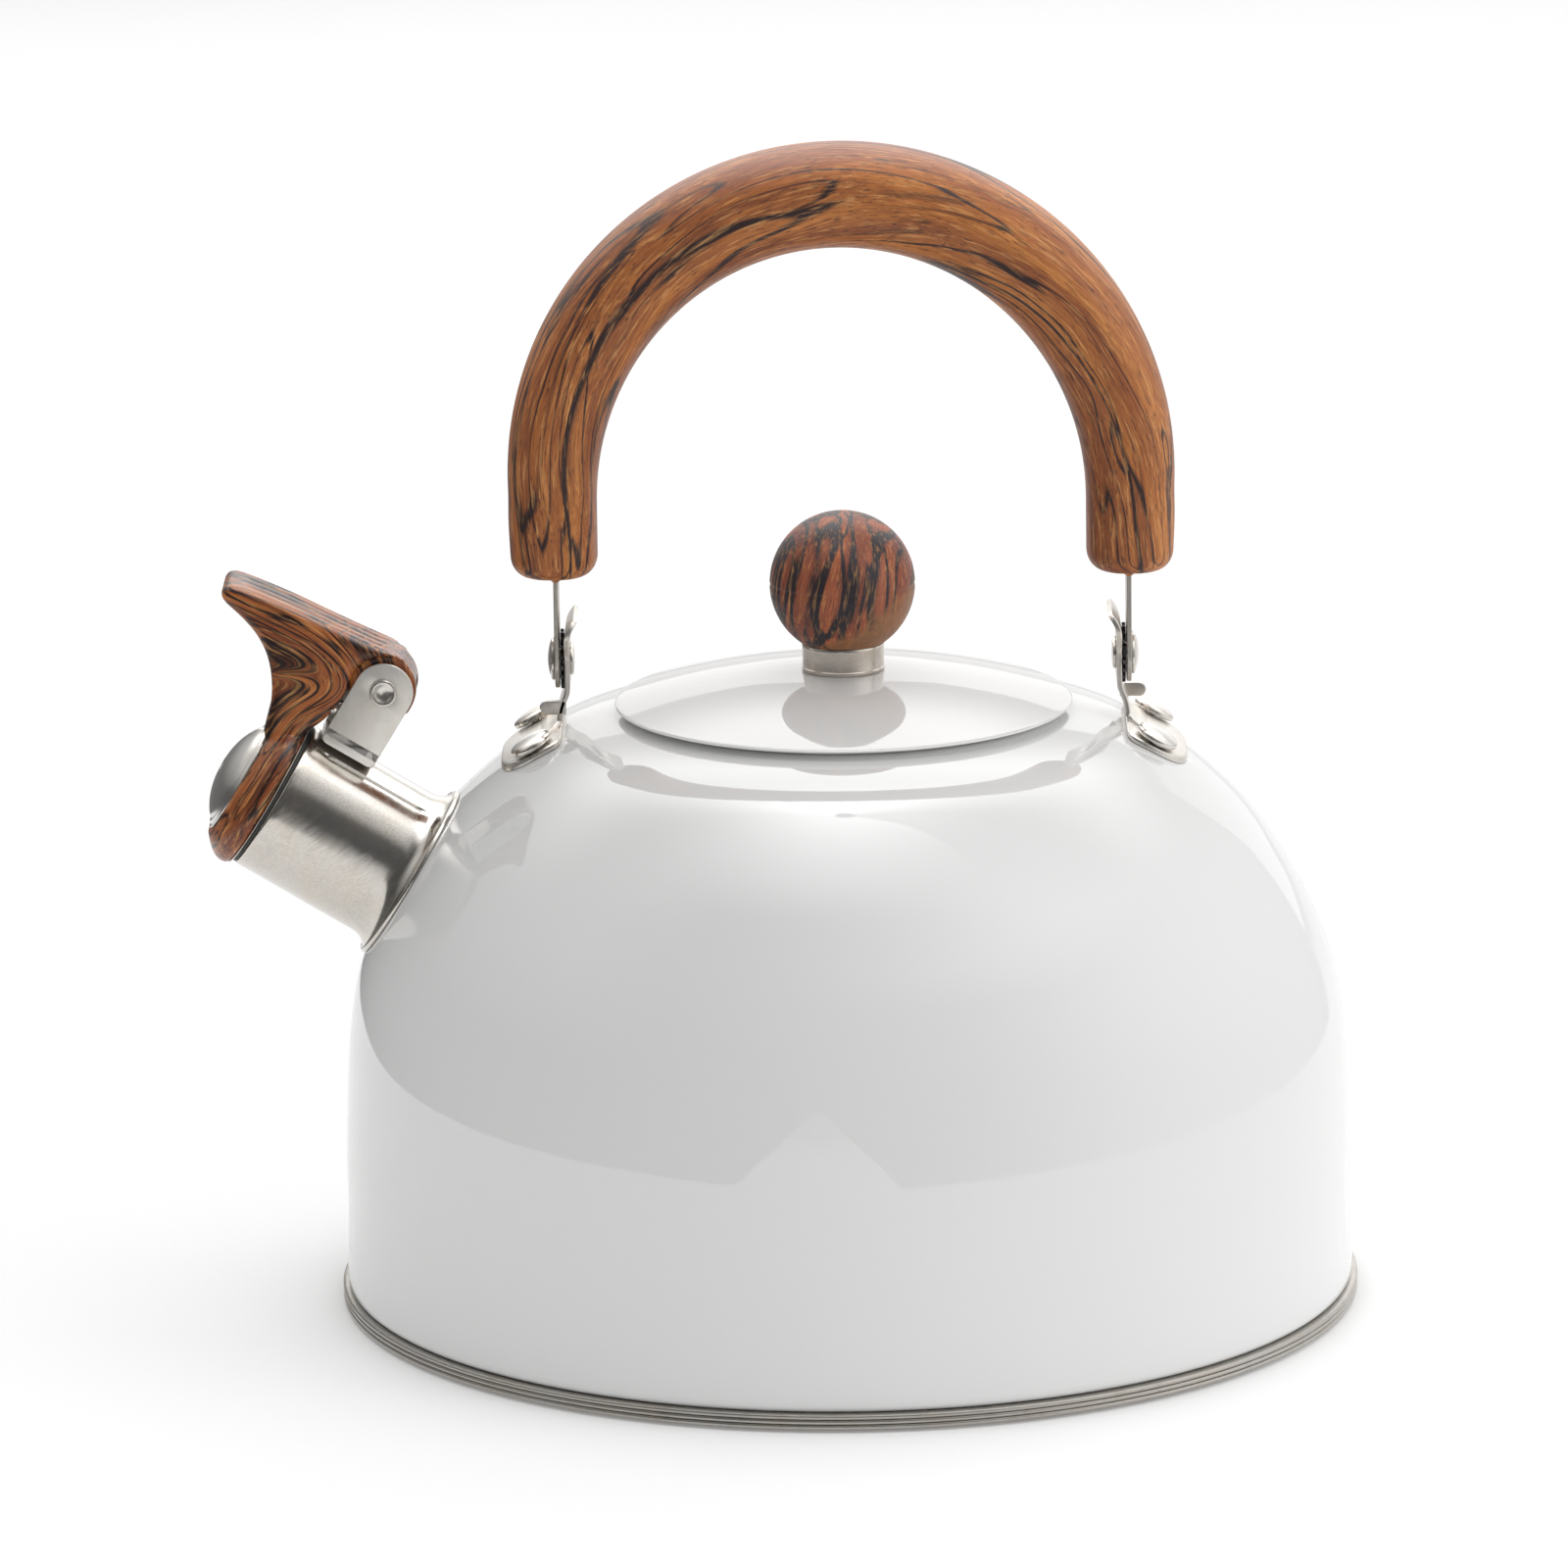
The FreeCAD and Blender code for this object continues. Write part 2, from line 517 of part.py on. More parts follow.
# ---------------------------------------------------------------- lid
LT = [(COLLAR_R - 3.85, 121.05), (COLLAR_R, 121.0), (12.0, 120.85), (18.0, 120.35), (24.0, 119.55),
      (30.0, 118.5), (36.0, 117.15), (40.0, 116.1), (42.2, 115.5)]
lid_in = [(r - 0.1, z - SHEET) for r, z in LT]
lid_in[0] = (LT[0][0], 121.05 - SHEET)
cover = turned((4.0, 121.05), [
    ("S", LT[1:]), ("A", (43.0, 115.25), (LID_R, 114.9)), ("L", (LID_R, 114.75)),
    ("A", (43.1, 114.5), (42.8, 114.45)), ("L", (42.55, 114.55)), ("L", lid_in[-1]),
    ("S", lid_in[::-1][1:])])
cover = cover.cut(Part.makeCylinder(2.1, 10, V(0, 0, 116)))
save(cover, "lid_cover")

b0, b1 = lid_in[-3], lid_in[-2]


def under(r):
    """Height of the underside of the lid cover."""
    for i in range(len(lid_in) - 1):
        if lid_in[i][0] <= r <= lid_in[i + 1][0]:
            k = (r - lid_in[i][0]) / (lid_in[i + 1][0] - lid_in[i][0])
            return lid_in[i][1] + k * (lid_in[i + 1][1] - lid_in[i][1])
    return lid_in[-1][1]


zu = under(39.9)
skirt = turned((SKIRT_R, 105.5), [
    ("L", (SKIRT_R, 113.6)), ("L", (39.9, MOUTH_TOP_Z + 0.02)), ("L", (41.6, MOUTH_TOP_Z + 0.02)),
    ("L", (41.6, MOUTH_TOP_Z + 0.42)), ("L", (39.6, MOUTH_TOP_Z + 0.42)),
    ("L", (SKIRT_R - 0.4, 113.9)), ("L", (SKIRT_R - 0.4, 105.5))])
save(skirt, "lid_skirt")

# ---------------------------------------------------------------- knob
ball = Part.makeSphere(KNOB_R, V(0, 0, KNOB_Z))
groove = Part.makeTorus(KNOB_R + 0.12, 0.22, V(0, 0, KNOB_Z))
ball = ball.cut(groove)
ball = ball.cut(Part.makeCylinder(20, 10, V(0, 0, COLLAR_TOP_Z - 10)))
ball = ball.cut(Part.makeCylinder(3.2, 12.0, V(0, 0, COLLAR_TOP_Z - 1)))
save(ball, "knob_ball")

collar = turned((2.1, 121.05), [
    ("L", (COLLAR_R - 0.15, 121.05)), ("L", (COLLAR_R, 121.3)), ("L", (COLLAR_R, COLLAR_TOP_Z - 0.3)),
    ("L", (COLLAR_R - 0.3, COLLAR_TOP_Z)), ("L", (2.1, COLLAR_TOP_Z))])
save(collar, "knob_collar")

insert = Part.makeCylinder(3.2, 11.0, V(0, 0, COLLAR_TOP_Z)).cut(
    Part.makeCylinder(2.0, 11.0, V(0, 0, COLLAR_TOP_Z)))
save(insert, "knob_insert")

screw = Part.makeCylinder(2.0, COLLAR_TOP_Z + 9.0 - 119.62, V(0, 0, 119.62))
shead = Part.makeCylinder(3.8, 1.3, V(0, 0, 118.32))
sdome = Part.makeSphere(5.2, V(0, 0, 118.32 + math.sqrt(5.2 ** 2 - 3.8 ** 2))).common(
    Part.makeCylinder(3.8, 2.0, V(0, 0, 116.35)))
screw = screw.fuse([shead, sdome]).removeSplitter()
for ang in (0, 90):
    sl = Part.makeBox(4.6, 0.9, 1.6, V(-2.3, -0.45, 116.4))
    sl.rotate(V(0, 0, 117), V(0, 0, 1), ang)
    screw = screw.cut(sl)
save(screw, "knob_screw")

wa = Part.makeCylinder(4.6, 0.8, V(0, 0, 119.62)).cut(Part.makeCylinder(2.1, 2, V(0, 0, 119)))
save(wa, "knob_lock_washer")
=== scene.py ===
import bpy, bmesh, math
import numpy as np
from mathutils import Vector, Matrix
from mathutils.geometry import tessellate_polygon


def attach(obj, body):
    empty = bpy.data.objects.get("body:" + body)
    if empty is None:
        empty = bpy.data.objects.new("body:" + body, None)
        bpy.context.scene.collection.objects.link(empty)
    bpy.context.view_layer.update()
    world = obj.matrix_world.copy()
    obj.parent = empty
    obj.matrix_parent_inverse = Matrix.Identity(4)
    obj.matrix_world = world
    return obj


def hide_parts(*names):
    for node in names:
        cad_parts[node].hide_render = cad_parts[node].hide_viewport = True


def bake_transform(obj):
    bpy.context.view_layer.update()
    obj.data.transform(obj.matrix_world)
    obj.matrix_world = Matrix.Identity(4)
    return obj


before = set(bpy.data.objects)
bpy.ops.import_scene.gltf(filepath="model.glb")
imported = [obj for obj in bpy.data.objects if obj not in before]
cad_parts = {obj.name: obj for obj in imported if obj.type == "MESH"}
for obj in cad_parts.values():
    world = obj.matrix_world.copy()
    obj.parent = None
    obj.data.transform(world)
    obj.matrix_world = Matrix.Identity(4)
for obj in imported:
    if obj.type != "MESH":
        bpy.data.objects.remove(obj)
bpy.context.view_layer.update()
MM = 0.001
scene = bpy.context.scene

# ================================================================ sizes of the object, mm
PROFILE = [(96.0, 4.8), (95.9, 12.0), (95.75, 20.0), (95.8, 27.0), (95.7, 33.0),
           (95.5, 39.0), (95.2, 45.0), (94.8, 51.0), (94.0, 57.4), (92.8, 63.5),
           (90.9, 69.4), (88.4, 75.1), (85.5, 80.6), (82.2, 85.9), (78.6, 91.0),
           (74.4, 95.7), (69.8, 100.0), (65.0, 104.0), (59.9, 107.6), (54.2, 110.4),
           (48.2, 112.2), (43.6, 113.15)]
SPOUT_ELEV = 31.5
MO = np.array([-108.0, 0.0, 98.0])
SE = math.radians(SPOUT_ELEV)
AX = np.array([-math.cos(SE), 0.0, math.sin(SE)])
UP = np.array([math.sin(SE), 0.0, math.cos(SE)])
YY = np.array([0.0, 1.0, 0.0])
ZZ = np.array([0.0, 0.0, 1.0])
PIN_U, PIN_V = -7.3, 29.0
PIVOT_Z = 123.6


def sp(u, v, w=0.0):
    return MO + AX * u + UP * v + YY * w


# ================================================================ small maths helpers
def cubic(pts, n):
    """Natural cubic spline through the points, n samples, spaced by chord length."""
    p = np.asarray(pts, float)
    d = np.sqrt(((p[1:] - p[:-1]) ** 2).sum(1)) ** 0.5
    t = np.concatenate([[0], np.cumsum(d)])
    m = len(p)
    h = t[1:] - t[:-1]
    A = np.zeros((m, m))
    B = np.zeros(p.shape)
    A[0, 0] = A[-1, -1] = 1
    for i in range(1, m - 1):
        A[i, i - 1], A[i, i], A[i, i + 1] = h[i - 1], 2 * (h[i - 1] + h[i]), h[i]
        B[i] = 6 * ((p[i + 1] - p[i]) / h[i] - (p[i] - p[i - 1]) / h[i - 1])
    M2 = np.linalg.solve(A, B)
    ts = np.linspace(0, t[-1], n)
    k = np.clip(np.searchsorted(t, ts, side="right") - 1, 0, m - 2)
    a = (t[k + 1] - ts)[:, None]
    b = (ts - t[k])[:, None]
    hk = h[k][:, None]
    return (M2[k] * a ** 3 / (6 * hk) + M2[k + 1] * b ** 3 / (6 * hk)
            + (p[k] / hk - M2[k] * hk / 6) * a + (p[k + 1] / hk - M2[k + 1] * hk / 6) * b)


def closed_cubic(pts, n):
    """Closed smooth curve through the points."""
    p = list(map(tuple, pts))
    k = len(p)
    q = cubic(p[-3:] + p + p[:3], 40 * (k + 5) + 1)
    a = np.asarray(p[0])
    i0 = int(np.argmin(((q[:40 * 5] - a) ** 2).sum(1)))
    i1 = int(np.argmin(((q[40 * (k + 1):] - a) ** 2).sum(1))) + 40 * (k + 1)
    q = q[i0:i1 + 1]
    return resample(q, n + 1)[:-1]


def resample(p, n):
    p = np.asarray(p, float)
    d = np.sqrt(((p[1:] - p[:-1]) ** 2).sum(1))
    t = np.concatenate([[0], np.cumsum(d)])
    ts = np.linspace(0, t[-1], n)
    return np.stack([np.interp(ts, t, p[:, k]) for k in range(p.shape[1])], 1)


def rpoly(pts, r, seg=4, closed=True):
    """Polygon with its corners rounded. r is one radius or one per corner."""
    p = [np.asarray(q, float) for q in pts]
    n = len(p)
    rs = [r] * n if np.isscalar(r) else list(r)
    out = []
    for i in range(n):
        if not closed and i in (0, n - 1) or rs[i] <= 0:
            out.append(p[i])
            continue
        a, b, c = p[i - 1], p[i], p[(i + 1) % n]
        u, v = a - b, c - b
        lu, lv = np.linalg.norm(u), np.linalg.norm(v)
        u, v = u / lu, v / lv
        cosang = float(np.clip(u @ v, -1, 1))
        ang = math.acos(cosang)
        if ang > math.pi - 1e-3:
            out.append(b)
            continue
        d = min(rs[i] / math.tan(ang / 2), lu * 0.49, lv * 0.49)
        p0, p1 = b + u * d, b + v * d
        bis = (u + v) / np.linalg.norm(u + v)
        rr = d * math.tan(ang / 2)
        cen = b + bis * (rr / math.sin(ang / 2))
        a0, a1 = p0 - cen, p1 - cen
        tot = math.acos(float(np.clip(a0 @ a1 / (np.linalg.norm(a0) * np.linalg.norm(a1)), -1, 1)))
        for k in range(seg + 1):
            f = k / seg
            if tot < 1e-6:
                out.append(p0)
                break
            w = (math.sin((1 - f) * tot) * a0 + math.sin(f * tot) * a1) / math.sin(tot)
            out.append(cen + w)
    return np.array(out)


def dense(pts, step, closed=True):
    """Adds points on long runs so that shading and noise stay even."""
    p = list(pts)
    if closed:
        p = p + [p[0]]
    out = [p[0]]
    for a, b in zip(p[:-1], p[1:]):
        a, b = np.asarray(a), np.asarray(b)
        n = max(1, int(np.linalg.norm(b - a) / step))
        for k in range(1, n + 1):
            out.append(a + (b - a) * k / n)
    return np.array(out[:-1] if closed else out)


# ================================================================ body surface
DP = cubic(PROFILE, 900)
_t = np.gradient(DP, axis=0)
_t /= np.linalg.norm(_t, axis=1)[:, None]
DN = np.stack([_t[:, 1], -_t[:, 0]], 1)


def sdist(r, z):
    """Signed distance to the outer surface of the domed body, positive outside."""
    d = (DP[:, 0] - r) ** 2 + (DP[:, 1] - z) ** 2
    i = int(np.argmin(d))
    v = np.array([r, z]) - DP[i]
    return float(v @ DN[i])


def sd3(p):
    return sdist(math.hypot(p[0], p[1]), p[2])


def on_spout(r, phi, h, lo=-48.0, hi=-8.0):
    """u where the line at that radius and angle round the spout axis is h above the body."""
    for _ in range(40):
        mid = (lo + hi) / 2
        p = sp(mid, r * math.cos(phi), r * math.sin(phi))
        if sd3(p) > h:
            hi = mid
        else:
            lo = mid
    return (lo + hi) / 2


def z_at(r, h=0.0):
    """Height at which a vertical line at that radius is h above the body surface."""
    lo, hi = 60.0, 125.0
    for _ in range(40):
        mid = (lo + hi) / 2
        if sdist(r, mid) > h:
            hi = mid
        else:
            lo = mid
    return (lo + hi) / 2


# ================================================================ mesh helpers
def new_mesh(name, verts, faces):
    me = bpy.data.meshes.new(name)
    me.from_pydata([tuple(float(c) * MM for c in v) for v in verts], [], faces)
    me.validate()
    bm = bmesh.new()
    bm.from_mesh(me)
    bmesh.ops.remove_doubles(bm, verts=bm.verts, dist=1e-7)
    bmesh.ops.recalc_face_normals(bm, faces=bm.faces)
    bm.to_mesh(me)
    bm.free()
    return me


def piece(name, me, mat, body, nodes=(), angle=38):
    o = bpy.data.objects.new(name, me)
    scene.collection.objects.link(o)
    me.materials.clear()
    me.materials.append(mat)
    me.polygons.foreach_set("use_smooth", [True] * len(me.polygons))
    if angle:
        me.set_sharp_from_angle(angle=math.radians(angle))
    if body:
        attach(o, body)
    if nodes:
        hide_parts(*nodes)
    return o


def grid_faces(nr, nc, close_r, close_c):
    """Faces of a grid of nr rows and nc columns, index = row * nc + column."""
    f = []
    for i in range(nr if close_r else nr - 1):
        for j in range(nc if close_c else nc - 1):
            a, b = i * nc + j, i * nc + (j + 1) % nc
            c, d = ((i + 1) % nr) * nc + (j + 1) % nc, ((i + 1) % nr) * nc + j
            f.append((a, b, c, d))
    return f


def basis(axis):
    a = np.asarray(axis, float)
    a = a / np.linalg.norm(a)
    ref = np.array([0, 0, 1.0]) if abs(a[2]) < 0.9 else np.array([0, 1.0, 0])
    x = np.cross(ref, a)
    x /= np.linalg.norm(x)
    return x, np.cross(a, x), a


def lathe_mesh(name, prof, seg=128, origin=(0, 0, 0), axis=(0, 0, 1), closed=True, rfun=None):
    """prof is (radius, height) points. Rows with radius 0 become poles."""
    x, y, a = basis(axis)
    o = np.asarray(origin, float)
    prof = np.asarray(prof, float)
    verts, faces, rows = [], [], []
    for r, h in prof:
        if r < 1e-6:
            rows.append([len(verts)])
            verts.append(o + a * h)
        else:
            row = []
            for k in range(seg):
                t = 2 * math.pi * k / seg
                rr, hh = (r, h) if rfun is None else rfun(r, h, t)
                row.append(len(verts))
                verts.append(o + a * hh + (x * math.cos(t) + y * math.sin(t)) * rr)
            rows.append(row)
    n = len(rows)
    for i in range(n if closed else n - 1):
        p, q = rows[i], rows[(i + 1) % n]
        if len(p) == 1 and len(q) == 1:
            continue
        for k in range(seg):
            k2 = (k + 1) % seg
            if len(p) == 1:
                faces.append((p[0], q[k], q[k2]))
            elif len(q) == 1:
                faces.append((p[k], q[0], p[k2]))
            else:
                faces.append((p[k], q[k], q[k2], p[k2]))
    return new_mesh(name, verts, faces)


def loft_mesh(name, rings, caps=True):
    """Rings of equal length, joined one to the next; ends closed by a fan."""
    nr, nc = len(rings), len(rings[0])
    verts = [p for ring in rings for p in ring]
    faces = grid_faces(nr, nc, False, True)
    if caps:
        for r in (0, nr - 1):
            c = len(verts)
            verts.append(np.mean(rings[r], axis=0))
            for j in range(nc):
                faces.append((r * nc + j, r * nc + (j + 1) % nc, c))
    return new_mesh(name, verts, faces)


def plate_mesh(name, loops, thick, bevel, origin, xdir, ydir, res=2):
    """Flat sheet with rounded edges: outline and holes as closed 2-D loops, centred on its thickness."""
    cu = bpy.data.curves.new(name, "CURVE")
    cu.dimensions = "2D"
    cu.fill_mode = "BOTH"
    for lp in loops:
        s = cu.splines.new("POLY")
        s.points.add(len(lp) - 1)
        for i, p in enumerate(lp):
            s.points[i].co = (p[0] * MM, p[1] * MM, 0, 1)
        s.use_cyclic_u = True
    cu.extrude = (thick / 2 - bevel) * MM
    cu.bevel_depth = bevel * MM
    cu.bevel_resolution = res
    cu.offset = -bevel * MM
    ob = bpy.data.objects.new(name + "_c", cu)
    scene.collection.objects.link(ob)
    dg = bpy.context.evaluated_depsgraph_get()
    me = bpy.data.meshes.new_from_object(ob.evaluated_get(dg))
    bpy.data.objects.remove(ob)
    bpy.data.curves.remove(cu)
    x, y = np.asarray(xdir, float), np.asarray(ydir, float)
    z = np.cross(x, y)
    o = np.asarray(origin, float) * MM
    m = Matrix(((x[0], y[0], z[0], o[0]), (x[1], y[1], z[1], o[1]), (x[2], y[2], z[2], o[2]), (0, 0, 0, 1)))
    me.transform(m)
    bm = bmesh.new()
    bm.from_mesh(me)
    bmesh.ops.remove_doubles(bm, verts=bm.verts, dist=1e-7)
    bmesh.ops.recalc_face_normals(bm, faces=bm.faces)
    bm.to_mesh(me)
    bm.free()
    me.name = name
    return me


def inset_loop(p, d):
    """Closed loop moved inwards by d; where the loop is too tight the points are spread between their good neighbours."""
    p = np.asarray(p, float)
    if d <= 0:
        return p
    t = np.roll(p, -1, 0) - np.roll(p, 1, 0)
    t /= np.linalg.norm(t, axis=1)[:, None]
    q = p + np.stack([-t[:, 1], t[:, 0]], 1) * d
    a, b = p, np.roll(p, -1, 0)
    ab = b - a
    k = np.clip(np.einsum("nmk,mk->nm", q[:, None] - a[None], ab) / np.maximum((ab ** 2).sum(1), 1e-12)[None], 0, 1)
    dist = np.linalg.norm(q[:, None] - (a[None] + k[..., None] * ab[None]), axis=2).min(1)
    with np.errstate(divide="ignore", invalid="ignore"):
        xi = a[None, :, 0] + (q[:, None, 1] - a[None, :, 1]) * ab[None, :, 0] / ab[None, :, 1]
    hit = ((a[None, :, 1] > q[:, None, 1]) != (b[None, :, 1] > q[:, None, 1])) & (q[:, None, 0] < xi)
    ok = np.where((dist > 0.95 * d) & (hit.sum(1) % 2 == 1))[0]
    i = np.arange(len(p))
    return np.stack([np.interp(i, ok, q[ok, c], period=len(p)) for c in (0, 1)], 1)


def slab_mesh(name, loop, thick, bevel, origin, xdir, ydir, seg=4, n=360):
    """Thick slab of any outline, without holes, with well rounded edges."""
    p = np.asarray(loop, float)
    if np.linalg.norm(p[0] - p[-1]) < 1e-6:
        p = p[:-1]
    area = 0.5 * float(np.sum(p[:, 0] * np.roll(p[:, 1], -1) - p[:, 1] * np.roll(p[:, 0], -1)))
    if area < 0:
        p = p[::-1]
    p = resample(np.vstack([p, p[:1]]), n + 1)[:-1]
    x, y = np.asarray(xdir, float), np.asarray(ydir, float)
    z = np.cross(x, y)
    steps = [(bevel * (1 - math.sin(t)), thick / 2 - bevel * (1 - math.cos(t))) for t in np.linspace(0, math.pi / 2, seg + 1)]
    levels = [(d, h) for d, h in steps] + [(d, -h) for d, h in steps[::-1]]
    verts = []
    for d, h in levels:
        for q in inset_loop(p, d):
            verts.append(np.asarray(origin) + x * q[0] + y * q[1] + z * h)
    faces = grid_faces(len(levels), n, False, True)
    cap = inset_loop(p, bevel)
    tri = tessellate_polygon([[Vector((q[0], q[1], 0)) for q in cap]])
    last = (len(levels) - 1) * n
    for t in tri:
        faces.append((t[0], t[1], t[2]))
        faces.append((last + t[2], last + t[1], last + t[0]))
    return new_mesh(name, verts, faces)


def circle(cx, cy, r, n=48):
    return [(cx + r * math.cos(2 * math.pi * k / n), cy + r * math.sin(2 * math.pi * k / n)) for k in range(n)]


def strip_mesh(name, path, half, thick, edge=0.25, seg=3, n_w=8):
    """Bent sheet strip in the XZ plane. path: (x, z) points; half: half width in Y at each point."""
    p = np.asarray(path, float)
    t = np.gradient(p, axis=0)
    t /= np.linalg.norm(t, axis=1)[:, None]
    nrm = np.stack([-t[:, 1], t[:, 0]], 1)
    rings = []
    for i in range(len(p)):
        h, tt = half[i], thick / 2
        e = min(edge, tt * 0.98, h * 0.9)
        sec = dense(rpoly([(-h, -tt), (h, -tt), (h, tt), (-h, tt)], e, seg), max(0.4, 2 * h / n_w))
        base = len(rings[0]) if rings else None
        if base and len(sec) != base:
            sec = resample(np.vstack([sec, sec[:1]]), base + 1)[:-1]
        rings.append([(p[i][0] + nrm[i][0] * b, a, p[i][1] + nrm[i][1] * b) for a, b in sec])
    return rings


def tube_mesh(name, pts, r, seg=16, ends=True):
    """Round wire along the points, its ends closed by flat fans."""
    p = np.asarray(pts, float)
    t = np.gradient(p, axis=0)
    t /= np.linalg.norm(t, axis=1)[:, None]
    n = np.cross(t[0], [0.3, 1, 0.2])
    n /= np.linalg.norm(n)
    rings = []
    for i in range(len(p)):
        n = n - t[i] * (n @ t[i])
        n /= np.linalg.norm(n)
        b = np.cross(t[i], n)
        rad = r
        rings.append([p[i] + (n * math.cos(a) + b * math.sin(a)) * rad
                      for a in [2 * math.pi * k / seg for k in range(seg)]])
    return loft_mesh(name, rings)


def apply_modifiers(o):
    dg = bpy.context.evaluated_depsgraph_get()
    dg.update()
    me = bpy.data.meshes.new_from_object(o.evaluated_get(dg))
    old = o.data
    o.modifiers.clear()
    o.data = me
    bpy.data.meshes.remove(old)
    return me


def boolean(me, cutters, op="DIFFERENCE", solver="EXACT"):
    o = bpy.data.objects.new("tmp_bool", me)
    scene.collection.objects.link(o)
    extra = []
    for c in cutters:
        k = bpy.data.objects.new("tmp_cut", c)
        scene.collection.objects.link(k)
        m = o.modifiers.new("b", "BOOLEAN")
        m.operation, m.object, m.solver = op, k, solver
        extra.append(k)
    out = apply_modifiers(o)
    bpy.data.objects.remove(o)
    for k in extra:
        d = k.data
        bpy.data.objects.remove(k)
        if d.users == 0:
            bpy.data.meshes.remove(d)
    return out


def set_attr(me, name, vecs):
    a = me.attributes.new(name, "FLOAT_VECTOR", "POINT")
    a.data.foreach_set("vector", np.asarray(vecs, np.float32).ravel())


def coords(me):
    n = len(me.vertices)
    c = np.empty(n * 3, np.float32)
    me.vertices.foreach_get("co", c)
    return c.reshape(n, 3).astype(float) / MM


# ================================================================ node helpers
class Nodes:
    def __init__(self, name):
        self.mat = bpy.data.materials.new(name)
        self.mat.use_nodes = True
        self.t = self.mat.node_tree
        self.t.nodes.clear()
        self.out = self.t.nodes.new("ShaderNodeOutputMaterial")
        self.bsdf = self.t.nodes.new("ShaderNodeBsdfPrincipled")
        self.t.links.new(self.bsdf.outputs[0], self.out.inputs[0])

    def n(self, kind, **kw):
        node = self.t.nodes.new(kind)
        for k, v in kw.items():
            if k.startswith("_"):
                setattr(node, k[1:], v)
            else:
                key = int(k[1:]) if k[0] == "i" and k[1:].isdigit() else k.replace("__", " ")
                s = node.inputs[key]
                if isinstance(v, bpy.types.NodeSocket):
                    self.t.links.new(v, s)
                else:
                    s.default_value = v
        return node

    def set(self, key, v):
        s = self.bsdf.inputs[key]
        if isinstance(v, bpy.types.NodeSocket):
            self.t.links.new(v, s)
        else:
            s.default_value = v

    def obj(self):
        return self.n("ShaderNodeTexCoord").outputs["Object"]

    def attr(self, name):
        return self.n("ShaderNodeAttribute", _attribute_name=name, _attribute_type="GEOMETRY").outputs["Vector"]

    def mapping(self, vec, scale=(1, 1, 1), rot=(0, 0, 0), loc=(0, 0, 0)):
        return self.n("ShaderNodeMapping", Vector=vec, Scale=scale, Rotation=rot, Location=loc).outputs[0]

    def noise(self, vec, scale, detail=2.0, rough=0.5, dist=0.0, lac=2.0):
        return self.n("ShaderNodeTexNoise", Vector=vec, Scale=scale, Detail=detail, Roughness=rough,
                      Distortion=dist, Lacunarity=lac)

    def math(self, op, a, b=0.0, c=0.0, clamp=False):
        return self.n("ShaderNodeMath", _operation=op, _use_clamp=clamp, i0=a, i1=b, i2=c).outputs[0]

    def vmath(self, op, a, b=(0, 0, 0)):
        node = self.n("ShaderNodeVectorMath", _operation=op)
        for s, v in ((node.inputs[0], a), (node.inputs[1], b)):
            if isinstance(v, bpy.types.NodeSocket):
                self.t.links.new(v, s)
            else:
                s.default_value = v
        return node.outputs[0]

    def scale(self, a, k):
        node = self.n("ShaderNodeVectorMath", _operation="SCALE")
        self.t.links.new(a, node.inputs[0])
        node.inputs["Scale"].default_value = k
        return node.outputs[0]

    def range(self, v, a, b, c, d, smooth=False):
        return self.n("ShaderNodeMapRange", Value=v, i1=a, i2=b, i3=c, i4=d,
                      _interpolation_type="SMOOTHSTEP" if smooth else "LINEAR").outputs[0]

    def ramp(self, v, stops, interp="LINEAR"):
        node = self.n("ShaderNodeValToRGB", Fac=v)
        e = node.color_ramp.elements
        node.color_ramp.interpolation = interp
        while len(e) > 1:
            e.remove(e[-1])
        for i, (p, col) in enumerate(stops):
            k = e[0] if i == 0 else e.new(p)
            k.position = p
            k.color = (*col, 1.0)
        return node.outputs[0]

    def mix(self, f, a, b, blend="MIX"):
        node = self.n("ShaderNodeMix", _data_type="RGBA", _blend_type=blend)
        for i, v in ((0, f), (6, a), (7, b)):
            s = node.inputs[i]
            if isinstance(v, bpy.types.NodeSocket):
                self.t.links.new(v, s)
            else:
                s.default_value = (*v, 1.0) if i and len(v) == 3 else v
        return node.outputs[2]

    def bump(self, h, strength=0.3, dist=0.0002, normal=None):
        node = self.n("ShaderNodeBump", Strength=strength, Distance=dist, Height=h)
        if normal is not None:
            self.t.links.new(normal, node.inputs["Normal"])
        return node.outputs[0]


def lin(r, g, b):
    """sRGB 0-255 to linear."""
    def f(c):
        c = c / 255.0
        return c / 12.92 if c <= 0.04045 else ((c + 0.055) / 1.055) ** 2.4
    return (f(r), f(g), f(b))


# ================================================================ materials
def enamel(name, tint=(0.752, 0.756, 0.750)):
    m = Nodes(name)
    o = m.obj()
    big = m.noise(o, 9.0, 3, 0.5).outputs[0]
    base = m.ramp(big, [(0.3, tuple(c * 0.985 for c in tint)), (0.7, tint)])
    speck = m.noise(o, 900.0, 2, 0.5).outputs[0]
    dots = m.range(speck, 0.80, 0.83, 0.0, 0.35)
    col = m.mix(dots, base, (0.45, 0.44, 0.42))
    m.set("Base Color", col)
    m.set("Roughness", m.range(m.noise(o, 60.0, 3, 0.6).outputs[0], 0.3, 0.7, 0.022, 0.045))
    m.bsdf.inputs["IOR"].default_value = 1.58
    m.bsdf.inputs["Coat Weight"].default_value = 0.15
    m.bsdf.inputs["Coat Roughness"].default_value = 0.03
    wav = m.noise(o, 38.0, 2, 0.5).outputs[0]
    peel = m.noise(o, 420.0, 2, 0.5).outputs[0]
    n1 = m.bump(wav, 0.12, 0.0004)
    n2 = m.bump(peel, 0.05, 0.00006, n1)
    m.set("Normal", n2)
    return m.mat


